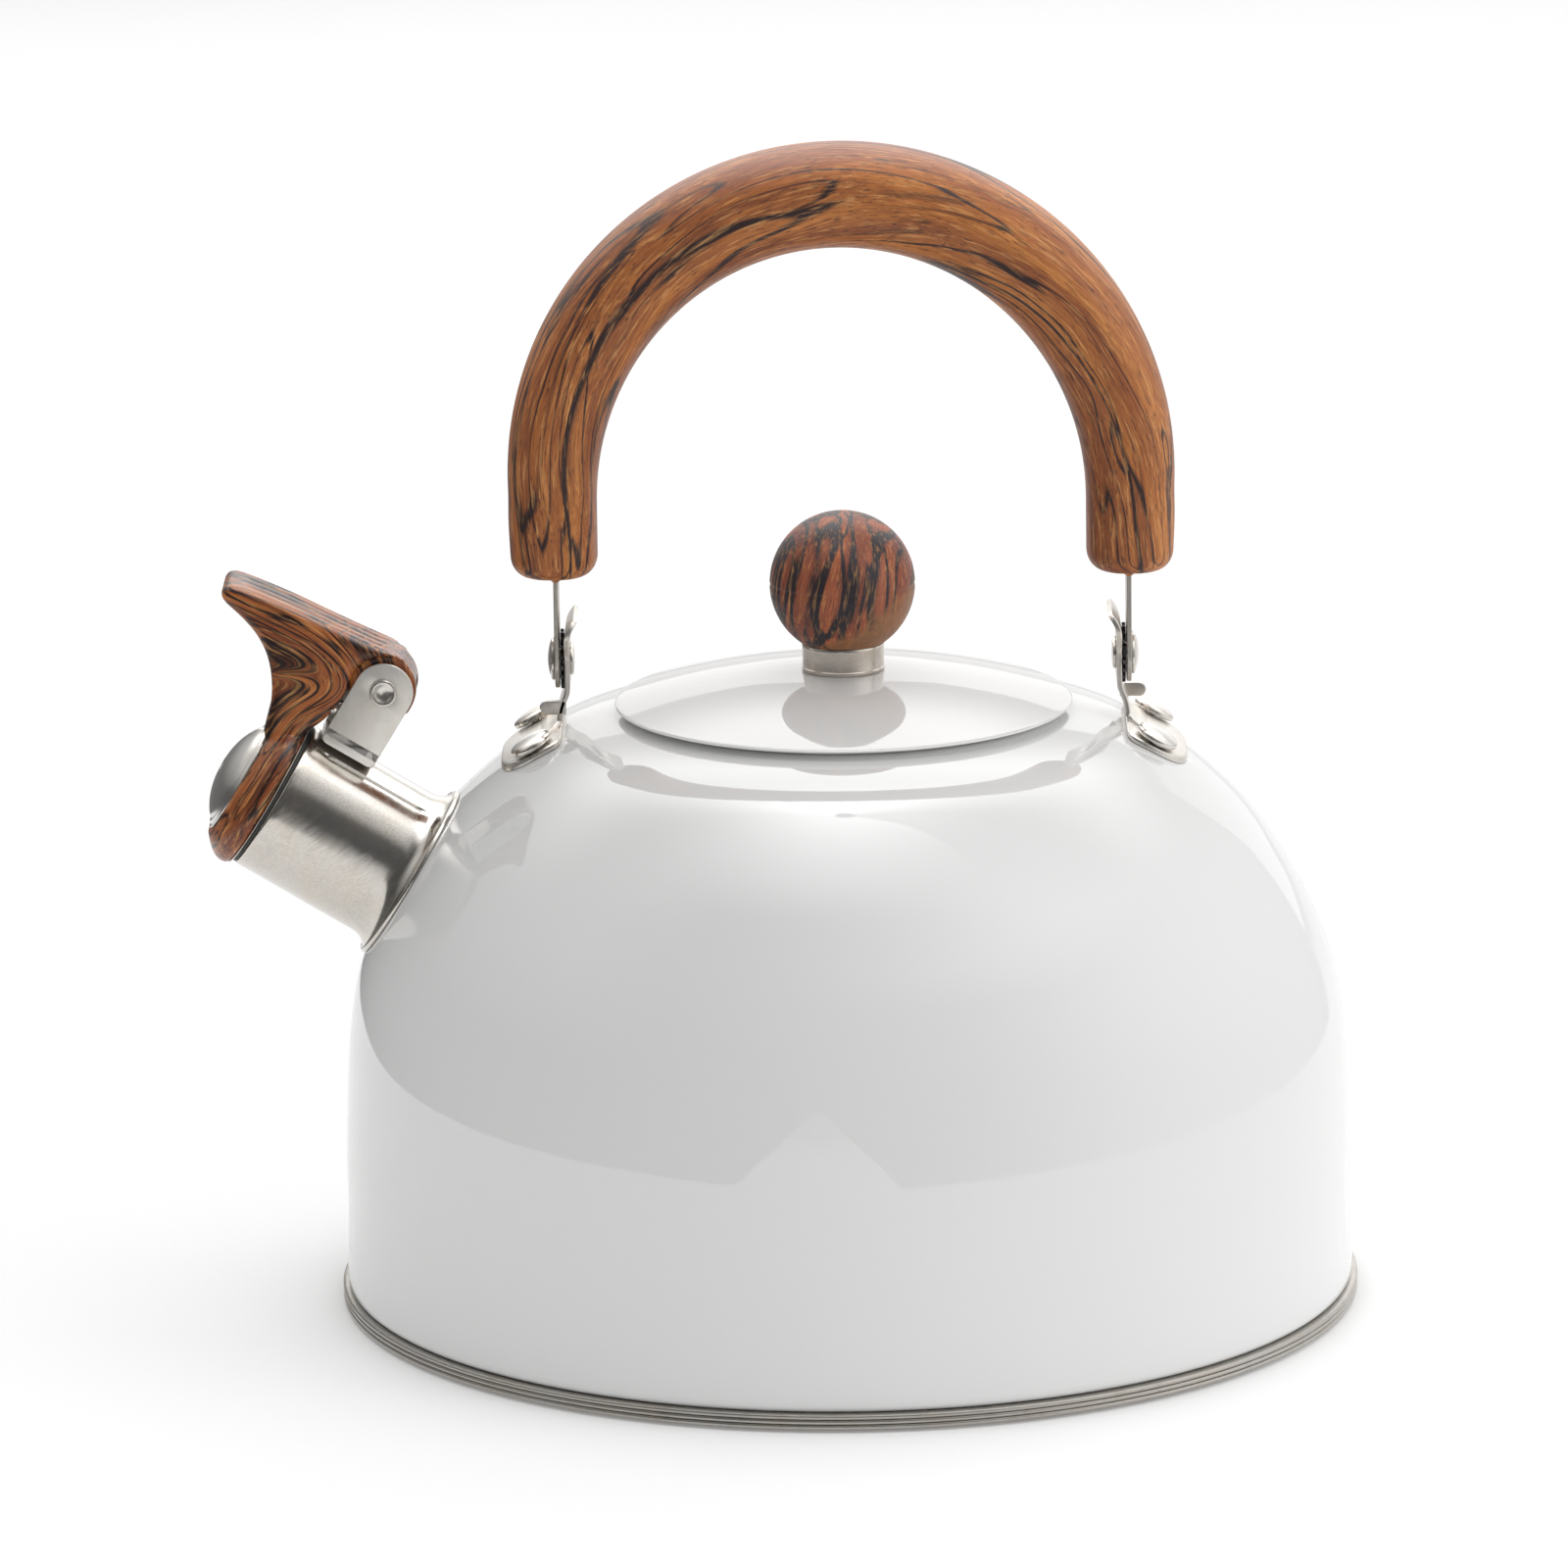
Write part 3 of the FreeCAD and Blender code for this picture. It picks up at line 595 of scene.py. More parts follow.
def steel(name, vec_fn=None, col=(0.60, 0.58, 0.55), rough=(0.22, 0.36), scratch=0.25, stretch=(1, 1, 1),
          stain=0.25, bump=0.15):
    """Brushed or drawn bare steel. stretch squeezes the noise so that the brushing runs along one way."""
    m = Nodes(name)
    o = m.obj() if vec_fn is None else vec_fn(m)
    br = m.noise(m.mapping(o, scale=stretch), 1200.0, 3, 0.6).outputs[0]
    blot = m.noise(o, 95.0, 4, 0.6, 0.6).outputs[0]
    fine = m.noise(m.mapping(o, scale=tuple(s * 3 for s in stretch)), 1500.0, 2, 0.5).outputs[0]
    warm = tuple(c * k for c, k in zip(col, (0.98, 0.93, 0.86)))
    c1 = m.mix(m.range(blot, 0.35, 0.7, 0.0, 1.0), col, warm)
    dark = tuple(c * (1 - stain) for c in col)
    c2 = m.mix(m.range(m.noise(o, 260.0, 5, 0.65, 1.0).outputs[0], 0.52, 0.75, 0.0, 0.55), c1, dark)
    c3 = m.mix(m.range(fine, 0.35, 0.65, 0.0, scratch * 0.5), c2, (0.9, 0.89, 0.87))
    m.set("Base Color", c3)
    m.set("Metallic", 1.0)
    r = m.math("ADD", m.range(br, 0.3, 0.7, rough[0], rough[1]), m.range(blot, 0.3, 0.8, 0.0, 0.08))
    m.set("Roughness", r)
    n1 = m.bump(br, bump, 0.00005)
    m.set("Normal", m.bump(blot, 0.05, 0.0003, n1))
    return m.mat


def wood(name, coord, gloss, seed=0.0, along=0.018, across=0.16, tones=None, streak=0.5, warp=3.0,
         patch=None, pores=1.0, fine=1.0, dark=None, lines=(9.0, 7.0), wide=1.0):
    """Printed wood grain. coord gives millimetres with the grain running along its X."""
    m = Nodes(name)
    v = coord(m)
    v = m.vmath("ADD", v, (seed, seed * 0.7, seed * 1.3))
    # slow wander of the grain
    w1 = m.noise(m.mapping(v, scale=(0.016, 0.04, 0.04)), 1.0, 2, 0.5)
    wob = m.scale(m.vmath("SUBTRACT", w1.outputs["Color"], (0.5, 0.5, 0.5)), warp * 2.6)
    vw = m.vmath("ADD", v, m.vmath("MULTIPLY", wob, (0.0, 1.0, 1.0)))
    tones = tones or [lin(208, 136, 60), lin(188, 114, 46), lin(160, 90, 38), lin(124, 66, 34), lin(84, 44, 28)]
    dark = dark or lin(48, 26, 24)
    g1 = m.noise(m.mapping(vw, scale=(along, across, across)), 1.0, 6, 0.62, 0.2).outputs[0]
    base = m.ramp(g1, [(0.28, tones[0]), (0.42, tones[1]), (0.53, tones[2]), (0.66, tones[3]), (0.80, tones[4])])
    k = None
    # two families of long dark lines: where a stretched field crosses fixed levels
    for n_, (fs, cnt, wid, lo, hi, loc) in enumerate(((0.34, lines[0], 0.11, 0.22, 0.40, (7, 3, 1)), (0.9, lines[1], 0.12, 0.28, 0.45, (17, 23, 5)))):
        g2 = m.noise(m.mapping(vw, scale=(along * 0.45 * (1 + n_), across * fs, across * fs), loc=loc), 1.0, 2, 0.4, 0.0).outputs[0]
        saw = m.math("FRACT", m.math("MULTIPLY", g2, cnt))
        ln = m.range(m.math("ABSOLUTE", m.math("SUBTRACT", saw, 0.5)), 0.0, wid * wide, 1.0, 0.0, True)
        gate = m.range(m.noise(m.mapping(vw, scale=(along * 0.8, across * 0.9, across * 0.9), loc=(31 + n_ * 9, 9, 4)), 1.0, 2, 0.5).outputs[0],
                       lo, hi, 0.0, 1.0, True)
        brk = m.range(m.noise(m.mapping(vw, scale=(0.04, 0.7, 0.7), loc=(n_ * 5, 0, 0)), 1.0, 3, 0.6).outputs[0], 0.30, 0.44, 0.4, 1.0)
        kk = m.math("MULTIPLY", m.math("MULTIPLY", ln, gate), m.math("MULTIPLY", brk, streak * (1.25 - 0.35 * n_)), clamp=True)
        k = kk if k is None else m.math("MAXIMUM", k, kk)
    c1 = m.mix(k, base, dark)
    # fibres and pores
    fib = m.noise(m.mapping(vw, scale=(0.14, 2.4, 2.4)), 1.0, 4, 0.68).outputs[0]
    c2 = m.mix(m.range(fib, 0.34, 0.66, 0.0, 0.75 * fine), c1, m.mix(1.0, c1, (0.46, 0.37, 0.33), "MULTIPLY"))
    lite = m.noise(m.mapping(vw, scale=(0.12, 1.9, 1.9), loc=(5, 5, 5)), 1.0, 3, 0.6).outputs[0]
    c3 = m.mix(m.range(lite, 0.52, 0.72, 0.0, 0.55 * fine), c2, lin(228, 166, 98))
    po = m.noise(m.mapping(vw, scale=(0.34, 4.2, 4.2)), 1.0, 2, 0.5).outputs[0]
    pk = m.range(po, 0.60, 0.67, 0.0, 0.75 * pores)
    c4 = m.mix(pk, c3, dark)
    if patch is not None:
        c4 = patch(m, v, c4)
    m.set("Base Color", c4)
    rr = m.range(fib, 0.3, 0.7, gloss, gloss + 0.10)
    m.set("Roughness", m.math("ADD", rr, m.math("MULTIPLY", pk, 0.12)))
    h = m.math("SUBTRACT", m.math("MULTIPLY", fib, 0.5), m.math("MULTIPLY", pk, 0.8))
    m.set("Normal", m.bump(h, 0.25, 0.00006))
    return m


def grain(name):
    return lambda m: m.attr(name)


ENAMEL = enamel("white_enamel_body")
ENAMEL_LID = enamel("white_enamel_lid", (0.752, 0.754, 0.744))
STEEL_BASE = steel("steel_base_bead", col=(0.46, 0.445, 0.42), rough=(0.26, 0.40), stain=0.35, stretch=(1, 1, 6))


def spout_coords(m):
    """Row-frame position turned so that X runs along the spout."""
    return m.mapping(m.obj(), rot=(0, math.radians(-(180 - SPOUT_ELEV)), 0))


STEEL_SLEEVE = steel("steel_sleeve", spout_coords, col=(0.58, 0.555, 0.52), rough=(0.11, 0.17), scratch=0.5,
                     stretch=(0.05, 1, 1), stain=0.30, bump=0.09)
# The ears' steel is a lighter, less metallic copy of the plate steel: its brighter colour is a painted highlight that
# makes the ears look bright.
STEEL_EARS_PAINTED_HIGHLIGHT = steel("steel_ears_painted_highlight", col=(0.80, 0.775, 0.73), rough=(0.26, 0.36), scratch=0.3, stretch=(1, 1, 0.25), stain=0.2)
for shader in STEEL_EARS_PAINTED_HIGHLIGHT.node_tree.nodes:
    if shader.type == "BSDF_PRINCIPLED":
        shader.inputs["Metallic"].default_value = 0.72
STEEL_PLATE = steel("steel_plate", col=(0.66, 0.635, 0.60), rough=(0.24, 0.36), scratch=0.35, stretch=(1, 1, 0.25), stain=0.22)
STEEL_BRIGHT = steel("steel_rivets", col=(0.68, 0.66, 0.63), rough=(0.16, 0.26), scratch=0.1, stain=0.15, bump=0.06)
STEEL_STRIP = steel("steel_strip", col=(0.50, 0.48, 0.45), rough=(0.26, 0.4), stretch=(1, 1, 0.15), stain=0.35)
STEEL_DOME = steel("steel_dome", spout_coords, col=(0.66, 0.65, 0.63), rough=(0.15, 0.22), scratch=0.1, stain=0.1)
STEEL_COLLAR = steel("steel_collar", col=(0.66, 0.62, 0.57), rough=(0.16, 0.26), stretch=(0.2, 0.2, 2.0), stain=0.3)
STEEL_SPRING = steel("spring_wire", col=(0.58, 0.57, 0.56), rough=(0.16, 0.28), stain=0.35)
BLACK_STEEL = steel("black_toothed_washer", col=(0.035, 0.034, 0.033), rough=(0.35, 0.5), stain=0.4)


def brass_mat():
    m = Nodes("brass_turned")
    o = m.obj()
    k = m.noise(m.mapping(o, scale=(1, 1, 8)), 900.0, 3, 0.6).outputs[0]
    m.set("Base Color", m.mix(m.range(k, 0.3, 0.7, 0.0, 1.0), (0.62, 0.44, 0.16), (0.78, 0.60, 0.27)))
    m.set("Metallic", 1.0)
    m.set("Roughness", m.range(k, 0.3, 0.7, 0.2, 0.34))
    m.set("Normal", m.bump(k, 0.2, 0.00005))
    return m.mat


def rubber_mat():
    m = Nodes("silicone_gasket")
    k = m.noise(m.obj(), 700.0, 3, 0.6).outputs[0]
    m.set("Base Color", m.mix(m.range(k, 0.3, 0.7, 0.0, 1.0), (0.022, 0.021, 0.02), (0.045, 0.043, 0.04)))
    m.set("Roughness", m.range(k, 0.3, 0.7, 0.5, 0.68))
    m.set("Normal", m.bump(k, 0.15, 0.00005))
    return m.mat


BRASS, RUBBER = brass_mat(), rubber_mat()

grip_wood = wood("wood_print_grip", grain("grain"), 0.42, seed=9.0, along=0.0065, across=0.15, streak=1.25, warp=3.6)
WOOD_GRIP = grip_wood.mat
TONES_LEVER = [lin(196, 124, 62), lin(172, 100, 48), lin(142, 76, 38), lin(106, 52, 30), lin(72, 34, 24)]
lever_wood = wood("wood_print_lever", grain("grain"), 0.26, seed=41.0, along=0.016, across=0.26, tones=TONES_LEVER,
                  streak=1.3, warp=3.0, pores=0.7, fine=0.9, dark=lin(38, 20, 18), lines=(11.0, 8.0), wide=1.6)
lever_wood.bsdf.inputs["Coat Weight"].default_value = 0.12
lever_wood.bsdf.inputs["IOR"].default_value = 1.42
lever_wood.bsdf.inputs["Coat Roughness"].default_value = 0.08
WOOD_LEVER = lever_wood.mat
TONES_KNOB = [lin(206, 124, 70), lin(178, 98, 58), lin(150, 78, 50), lin(116, 60, 44), lin(80, 42, 36)]


def knob_patch(m, v, col):
    """One side of the print fades to plain brown low down on the right."""
    o = m.obj()
    s = m.n("ShaderNodeSeparateXYZ")
    m.t.links.new(o, s.inputs[0])
    d = m.math("ADD", m.math("MULTIPLY", s.outputs[0], 90.0), m.math("MULTIPLY", m.math("SUBTRACT", 0.1345, s.outputs[2]), 130.0))
    edge = m.math("ADD", d, m.math("MULTIPLY", m.math("SUBTRACT", m.noise(o, 260.0, 4, 0.6).outputs[0], 0.5), 1.3))
    return m.mix(m.range(edge, 0.55, 0.95, 0.0, 0.8), col, m.mix(m.noise(o, 900.0, 3, 0.6).outputs[0], lin(128, 84, 50), lin(164, 114, 70)))


knob_wood = wood("wood_print_knob", grain("grain"), 0.42, seed=23.0, along=0.009, across=0.17, tones=TONES_KNOB,
                 streak=1.8, warp=1.2, dark=lin(36, 28, 36), patch=knob_patch, lines=(13.0, 6.0), wide=2.2, fine=0.75)
WOOD_KNOB = knob_wood.mat

# ================================================================ body shell
N_BODY = 288


def body_profile():
    t = 0.6
    outer = cubic([(95.95, 4.6)] + PROFILE[1:], 150)
    tt = np.gradient(outer, axis=0)
    tt /= np.linalg.norm(tt, axis=1)[:, None]
    nn = np.stack([tt[:, 1], -tt[:, 0]], 1)
    inner = outer - nn * t
    foot_o = [(92.0, 3.52), (94.6, 3.52), (95.3, 3.68), (95.75, 4.1)]
    mouth_o = cubic([tuple(outer[-1]), (42.5, 113.42), (41.6, 113.85), (40.85, 114.12), (40.4, 114.17),
                     (39.95, 114.02), (39.6, 113.6), (39.45, 113.0)], 26)[1:]
    tube = [(39.45, 111.5), (39.45, 109.2), (39.55, 108.8), (39.7, 108.62), (39.9, 108.7), (40.0, 109.0), (40.0, 111.0), (40.0, 112.7)]
    mouth_i = cubic([(40.02, 113.0), (40.15, 113.3), (40.45, 113.5), (40.8, 113.46), (41.5, 113.18), (42.4, 112.78),
                     tuple(inner[-1])], 20)[:-1]
    foot_i = [(94.9, 4.3), (94.4, 4.1), (92.0, 4.1)]
    return np.vstack([foot_o, outer, mouth_o, tube, mouth_i, inner[::-1], foot_i])


me = lathe_mesh("body_shell_v", body_profile(), N_BODY)
hole = lathe_mesh("hole", [(0, -80), (14.18, -80), (14.18, -5), (0, -5)], 96, MO, AX, closed=False)
cuts = [hole]


def seat(x, y):
    r = math.hypot(x, y)
    z = z_at(r)
    i = int(np.argmin((DP[:, 0] - r) ** 2 + (DP[:, 1] - z) ** 2))
    nr, nz = DN[i]
    return np.array([x, y, z]), np.array([nr * x / r, nr * y / r, nz])


RIVETS = [("left_front", -58.0, -11.0), ("left_rear", -58.0, 11.0), ("right_front", 58.0, -11.0), ("right_rear", 58.0, 11.0)]
for _, x, y in RIVETS:
    c, n = seat(x, y)
    cuts.append(lathe_mesh("h", [(0, -6), (2.0, -6), (2.0, 6), (0, 6)], 24, c, n, closed=False))
me = boolean(me, cuts)
body = piece("body_shell_v", me, ENAMEL, "kettle", ["body_shell"], 40)

# ================================================================ base pan with its three-ridged bead
prof = [(0, 0), (40, 0), (86.2, 0), (87.6, 0.08), (88.8, 0.32), (89.8, 0.55), (90.8, 0.62), (95.6, 0.62), (96.2, 0.66)]
for zc in (1.1, 2.02, 2.94):
    prof += [(96.95 - 0.40 * (1 - math.cos(a)) - 0.0, zc + 0.44 * math.sin(a) / 1.0) for a in np.linspace(-1.25, 1.25, 9)]
    prof += [(96.42, zc + 0.46)]
prof = prof[:-1] + [(96.3, 3.44), (95.9, 3.5), (94.0, 3.5), (91.6, 3.5), (91.15, 3.3), (91.0, 2.9), (91.0, 1.6), (90.4, 1.35),
                    (89.1, 1.15), (88.0, 0.92), (86.8, 0.8), (40, 0.8), (0, 0.8)]
me = lathe_mesh("base_pan_v", prof, N_BODY, closed=False)
piece("base_pan_v", me, STEEL_BASE, "kettle", ["base_pan"], 30)

# ================================================================ spout neck and sleeve
NPHI = 168


def seam_off(phi, u):
    """The sleeve is rolled from sheet: one edge laps over the other along a straight seam."""
    d = (phi - math.radians(-27.5) + math.pi) % (2 * math.pi) - math.pi
    lap = 0.0
    if d < 0:
        lap = -0.24 * max(0.0, 1.0 + d / 0.35)
        if -0.035 < d:
            lap -= 0.18
    f = min(1.0, max(0.0, (-u - 3.0) / 3.0)) * min(1.0, max(0.0, (u + 29.5) / 3.0))
    return lap * f


def sleeve():
    cols = []
    phis = sorted([2 * math.pi * k / NPHI - math.pi for k in range(NPHI)] +
                  [math.radians(-27.5) + e for e in (-0.034, -0.012, -0.001, 0.012)])
    for phi in phis:
        col = []
        ui = on_spout(14.25, phi, 0.08)
        # bore
        for u, r in [(-0.45, 14.22), (-2.0, 14.22), (-10, 14.22), (-16, 14.22), (-21, 14.22)]:
            col.append((u, r))
        col.append((ui, 14.25))
        # flange underside, edge and top, then the fillet up to the tube
        for r, h in [(15.2, 0.05), (16.4, 0.05), (17.2, 0.05), (17.5, 0.10), (17.66, 0.28), (17.68, 0.5), (17.6, 0.74), (17.42, 0.88),
                     (17.2, 0.92), (17.02, 0.86), (16.9, 0.78), (16.75, 0.80), (16.45, 0.95), (16.05, 1.22), (15.65, 1.65),
                     (15.32, 2.2), (15.1, 2.95), (15.02, 3.7)]:
            col.append((on_spout(r, phi, h), r))
        u0 = col[-1][0]
        for f in np.linspace(0.04, 1.0, 22):
            u = u0 + (-0.5 - u0) * f
            col.append((u, 15.0 + seam_off(phi, u)))
        col += [(-0.22, 14.96), (-0.05, 14.82), (0.0, 14.62), (-0.05, 14.42), (-0.2, 14.28)]
        cols.append([sp(u, r * math.cos(phi), r * math.sin(phi)) for u, r in col])
    nc, nr = len(cols[0]), len(cols)
    verts = [p for c in cols for p in c]
    return new_mesh("spout_sleeve_v", verts, grid_faces(nr, nc, True, True))


piece("spout_sleeve_v", sleeve(), STEEL_SLEEVE, "kettle", ["spout_sleeve"], 34)


def neck():
    cols = []
    for k in range(120):
        phi = 2 * math.pi * k / 120
        col = [(-14.2, 13.6), (-14.0, 13.8), (-14.2, 14.1), (-18, 14.14)]
        for r, h in [(14.14, -0.66), (14.4, -0.66), (15.8, -0.66), (16.8, -0.70), (17.1, -0.9), (17.15, -1.1), (16.9, -1.34),
                     (15.8, -1.38), (14.3, -1.38), (13.7, -1.30), (13.44, -1.1)]:
            col.append((on_spout(r, phi, h), r))
        col += [(-22, 13.44), (-18, 13.44)]
        cols.append([sp(u, r * math.cos(phi), r * math.sin(phi)) for u, r in col])
    return new_mesh("spout_neck_v", [p for c in cols for p in c], grid_faces(120, len(cols[0]), True, True))


piece("spout_neck_v", neck(), ENAMEL_LID, "kettle", ["spout_neck"], 40)

# ================================================================ whistle bracket, pin and spring
XU, YV = AX, UP       # spout directions


def ear_outline():
    r = 5.6
    pts = [(PIN_U - r, 15.0)] + [(PIN_U + r * math.cos(a), PIN_V + r * math.sin(a))
                                 for a in np.linspace(math.pi, 0, 33)] + [(PIN_U + r, 15.0)]
    q = rpoly(pts, [1.3] + [0] * 33 + [1.3], 5)
    return dense(q, 1.2)


parts = []
for s in (-1, 1):
    # the sheet lies in the plane of the spout axis; AX x UP points along -Y or +Y
    me = plate_mesh("ear", [ear_outline(), circle(PIN_U, PIN_V, 1.55, 32)], 0.8, 0.16, MO + YY * (s * 6.6), AX, UP, 3)
    parts.append(me)
# floor of the bracket with its two bends, and the short tab at the back
r_b = 1.0
sec = []
for a in np.linspace(0, math.pi / 2, 7):
    sec.append((-7.0 + r_b * (1 - math.cos(a)), 15.0 + r_b * (1 - math.sin(a))))
floor_path = [(-6.6, 18.0), (-6.6, 16.6)] + [(-5.6 - 1.0 * math.cos(a), 16.4 - 1.0 * math.sin(a)) for a in np.linspace(0.2, math.pi / 2, 7)]
floor_path += [(w, 15.4) for w in np.linspace(-5.0, 0, 6)]
fp = floor_path + [(-a, b) for a, b in floor_path[::-1][1:]]
fp = np.array(fp)
tg = np.gradient(fp, axis=0)
tg /= np.linalg.norm(tg, axis=1)[:, None]
nm = np.stack([-tg[:, 1], tg[:, 0]], 1)
rings = []
for i in range(len(fp)):
    secu = dense(rpoly([(PIN_U - 5.6, -0.4), (PIN_U + 5.6, -0.4), (PIN_U + 5.6, 0.4), (PIN_U - 5.6, 0.4)], 0.16, 3), 2.0)
    rings.append([sp(u, fp[i][1] + nm[i][1] * b, fp[i][0] + nm[i][0] * b) for u, b in secu])
parts.append(loft_mesh("floor", rings))
tab = rpoly([(-5.0, 15.2), (5.0, 15.2), (4.2, 22.4), (-4.2, 22.4)], [0.1, 0.1, 1.4, 1.4], 5)
parts.append(plate_mesh("tab", [dense(tab, 1.0)], 0.8, 0.16, MO + AX * (PIN_U - 5.2), YY, UP, 3))


def join(meshes, name):
    bm = bmesh.new()
    for k in meshes:
        bm.from_mesh(k)
    me = bpy.data.meshes.new(name)
    bm.to_mesh(me)
    bm.free()
    for k in meshes:
        bpy.data.meshes.remove(k)
    return me


piece("whistle_bracket_v", join(parts, "whistle_bracket_v"), STEEL_EARS_PAINTED_HIGHLIGHT, "kettle", ["whistle_bracket"], 30)

pin_prof = [(0, -7.25), (0.9, -7.30), (1.5, -7.5), (1.85, -7.78), (2.15, -7.86), (2.42, -7.8), (2.58, -7.55), (2.6, -7.25), (2.55, -7.05),
            (1.6, -7.02), (1.5, -6.9), (1.5, -3), (1.5, 3), (1.5, 6.9), (1.6, 7.02), (2.55, 7.05), (2.6, 7.25), (2.58, 7.55), (2.42, 7.8), (2.15, 7.86),
            (1.85, 7.78), (1.5, 7.5), (0.9, 7.30), (0, 7.25)]
piece("whistle_hinge_pin_v", lathe_mesh("pin", pin_prof, 48, sp(PIN_U, PIN_V), YY, closed=False), STEEL_BRIGHT, "kettle",
      ["whistle_hinge_pin"], 35)


def hermite(p0, d0, p1, d1, n):
    k = np.linalg.norm(p1 - p0)
    out = []
    for t in np.linspace(0, 1, n)[1:-1]:
        out.append(p0 * (2 * t ** 3 - 3 * t * t + 1) + d0 * (k * (t ** 3 - 2 * t * t + t)) + p1 * (3 * t * t - 2 * t ** 3) + d1 * (k * (t ** 3 - t * t)))
    return out


coil, TURNS, PITCH = [], 3, 1.15
W0 = TURNS * PITCH / 2
tot = 2 * math.pi * TURNS - math.radians(35)
for i in range(121):
    a = -math.pi / 2 + tot * i / 120
    coil.append(sp(PIN_U + 2.6 * math.cos(a), PIN_V + 2.6 * math.sin(a), W0 - TURNS * PITCH * i / 120))
un = lambda v: v / np.linalg.norm(v)
foot0 = sp(PIN_U - 4.1, 17.0, W0)
corner = sp(-1.12, 21.7, -W0 - 1.2)
wire = [foot0] + hermite(foot0, UP, coil[0], un(coil[1] - coil[0]), 14) + coil
wire += hermite(coil[-1], un(coil[-1] - coil[-2]), corner, -YY, 16) + [corner]
wire += [corner + (sp(-1.12, 21.7, -7.3) - corner) * f for f in np.linspace(0, 1, 8)[1:]]
# small loop at the near end, in front of the ear
wire += [sp(-1.12 + 0.75 * (1 - math.cos(a)) * 0.4, 21.7 - 0.9 * math.sin(a) * 0.6, -7.3 - 0.9 * a / 3.0) for a in np.linspace(0.3, 2.6, 10)]
SPRING = piece("whistle_spring_v", tube_mesh("spring", resample(wire, 320), 0.4, 14), STEEL_SPRING, None,
               ["whistle_spring"], 0)

# ================================================================ whistle lever
cap_prof = [(10.62, 1.22), (15.3, 1.22), (15.6, 1.34), (15.85, 1.65), (15.98, 2.3), (15.96, 2.9), (15.8, 3.5), (15.45, 4.25), (14.95, 4.95),
            (14.35, 5.6), (13.7, 6.2), (13.1, 6.75), (12.6, 7.15), (12.15, 7.42), (11.95, 7.5), (11.78, 7.4), (11.76, 6.62), (10.62, 6.62)]
CAP = lathe_mesh("cap", cap_prof, 128, MO, AX)
top_pts = cubic([(-13.4, 27.5), (-13.3, 29.8), (-12.75, 31.8), (-11.3, 33.9), (-9.0, 35.4), (-6.0, 36.15), (-3.0, 35.95),
                 (3.0, 35.3), (9.0, 34.75), (16.0, 34.15), (22.5, 33.3), (26.0, 32.75)], 70)
tip = [(27.6, 32.3), (28.55, 31.4), (28.7, 30.3), (28.0, 29.3), (26.6, 28.75)]
front = cubic([(26.6, 28.75), (23.2, 28.0), (19.8, 26.9), (16.8, 25.3), (14.3, 23.2), (12.2, 20.6), (10.6, 17.9), (9.5, 15.2),
               (8.9, 12.8), (8.3, 11.0)], 44)[1:]
under = [(7.0, 9.5), (1.3, 9.5), (1.3, 15.2), (1.0, 15.9), (0.3, 17.2), (-0.5, 19.2), (-1.0, 21.3), (-1.15, 23.2)]


def arm_outline(web):
    if web:
        tail = [(-1.15, 25.0), (-1.6, 25.8), (-12.2, 26.0)]
        return dense(np.vstack([top_pts, tip, front, under, tail]), 1.0)
    # wide part: ends in front of the ears along a round pocket
    a = [(PIN_U + 6.8 * math.cos(t) + 0.0, PIN_V + 7.15 * math.sin(t)) for t in np.linspace(0.0, 1.62, 24)]
    i = int(np.argmin(np.abs(top_pts[:, 0] - a[-1][0])))
    top = top_pts[i:]
    return dense(np.vstack([top, tip, front, under, [(-1.1, 25.4)], a]), 1.0)


WIDE = slab_mesh("wide", arm_outline(False), 16.4, 1.5, MO, AX, UP, 5)
WEB = slab_mesh("web", arm_outline(True), 11.6, 0.7, MO, AX, UP, 3)
lever = boolean(CAP, [WIDE, WEB], "UNION", "MANIFOLD")
cutters = [lathe_mesh("c1", [(0, -4), (10.6, -4), (10.6, 6.62), (11.76, 6.62), (11.76, 14), (0, 14)], 128, MO, AX, closed=False),
           lathe_mesh("c2", [(0, -20), (1.56, -20), (1.56, 20), (0, 20)], 40, sp(PIN_U, PIN_V), YY, closed=False)]
slot_pts = [(-1.8, 14), (-1.8, 25.4)] + [(PIN_U + 4.3 * math.cos(a), PIN_V + 4.3 * math.sin(a)) for a in np.linspace(-0.6, math.pi / 2, 14)] + [
    (-16, PIN_V + 4.3), (-16, 14)]
cutters.append(plate_mesh("c3", [slot_pts], 6.4, 0.1, MO, AX, UP, 1))
lever = boolean(lever, cutters, "DIFFERENCE", "MANIFOLD")
o = bpy.data.objects.new("lever_tmp", lever)
scene.collection.objects.link(o)
m = o.modifiers.new("r", "REMESH")
m.mode, m.voxel_size, m.use_smooth_shade = "VOXEL", 0.34 * MM, True
m2 = o.modifiers.new("s", "SMOOTH")
m2.factor, m2.iterations = 0.5, 5
lever = apply_modifiers(o)
bpy.data.objects.remove(o)
c = coords(lever)
rel = c - MO
U, Vv, W = rel @ AX, rel @ UP, rel[:, 1]
# grip ribs along the top of the thumb plate: shallow V grooves between rounded lands
top_v = np.interp(U, [-13, -9.0, -6.0, -3.0, 3.0, 9.0, 16.0, 22.5, 26.0, 28.0], [31, 35.4, 36.15, 35.95, 35.3, 34.75, 34.15, 33.3, 32.75, 32.2])
near_top = np.clip(1 - np.abs(Vv - top_v) / 1.0, 0, 1)
mask = near_top * np.clip((U + 4.5) / 3, 0, 1) * np.clip((25.5 - U) / 4, 0, 1) * np.clip((7.4 - np.abs(W)) / 0.8, 0, 1)
groove = np.clip(1 - np.abs(((W + 8.0) % 3.2) - 1.6) / 0.75, 0, 1)
dv = -0.6 * mask * groove ** 1.3
c2 = c + np.outer(dv, UP)
lever.vertices.foreach_set("co", (c2 * MM).astype(np.float32).ravel())
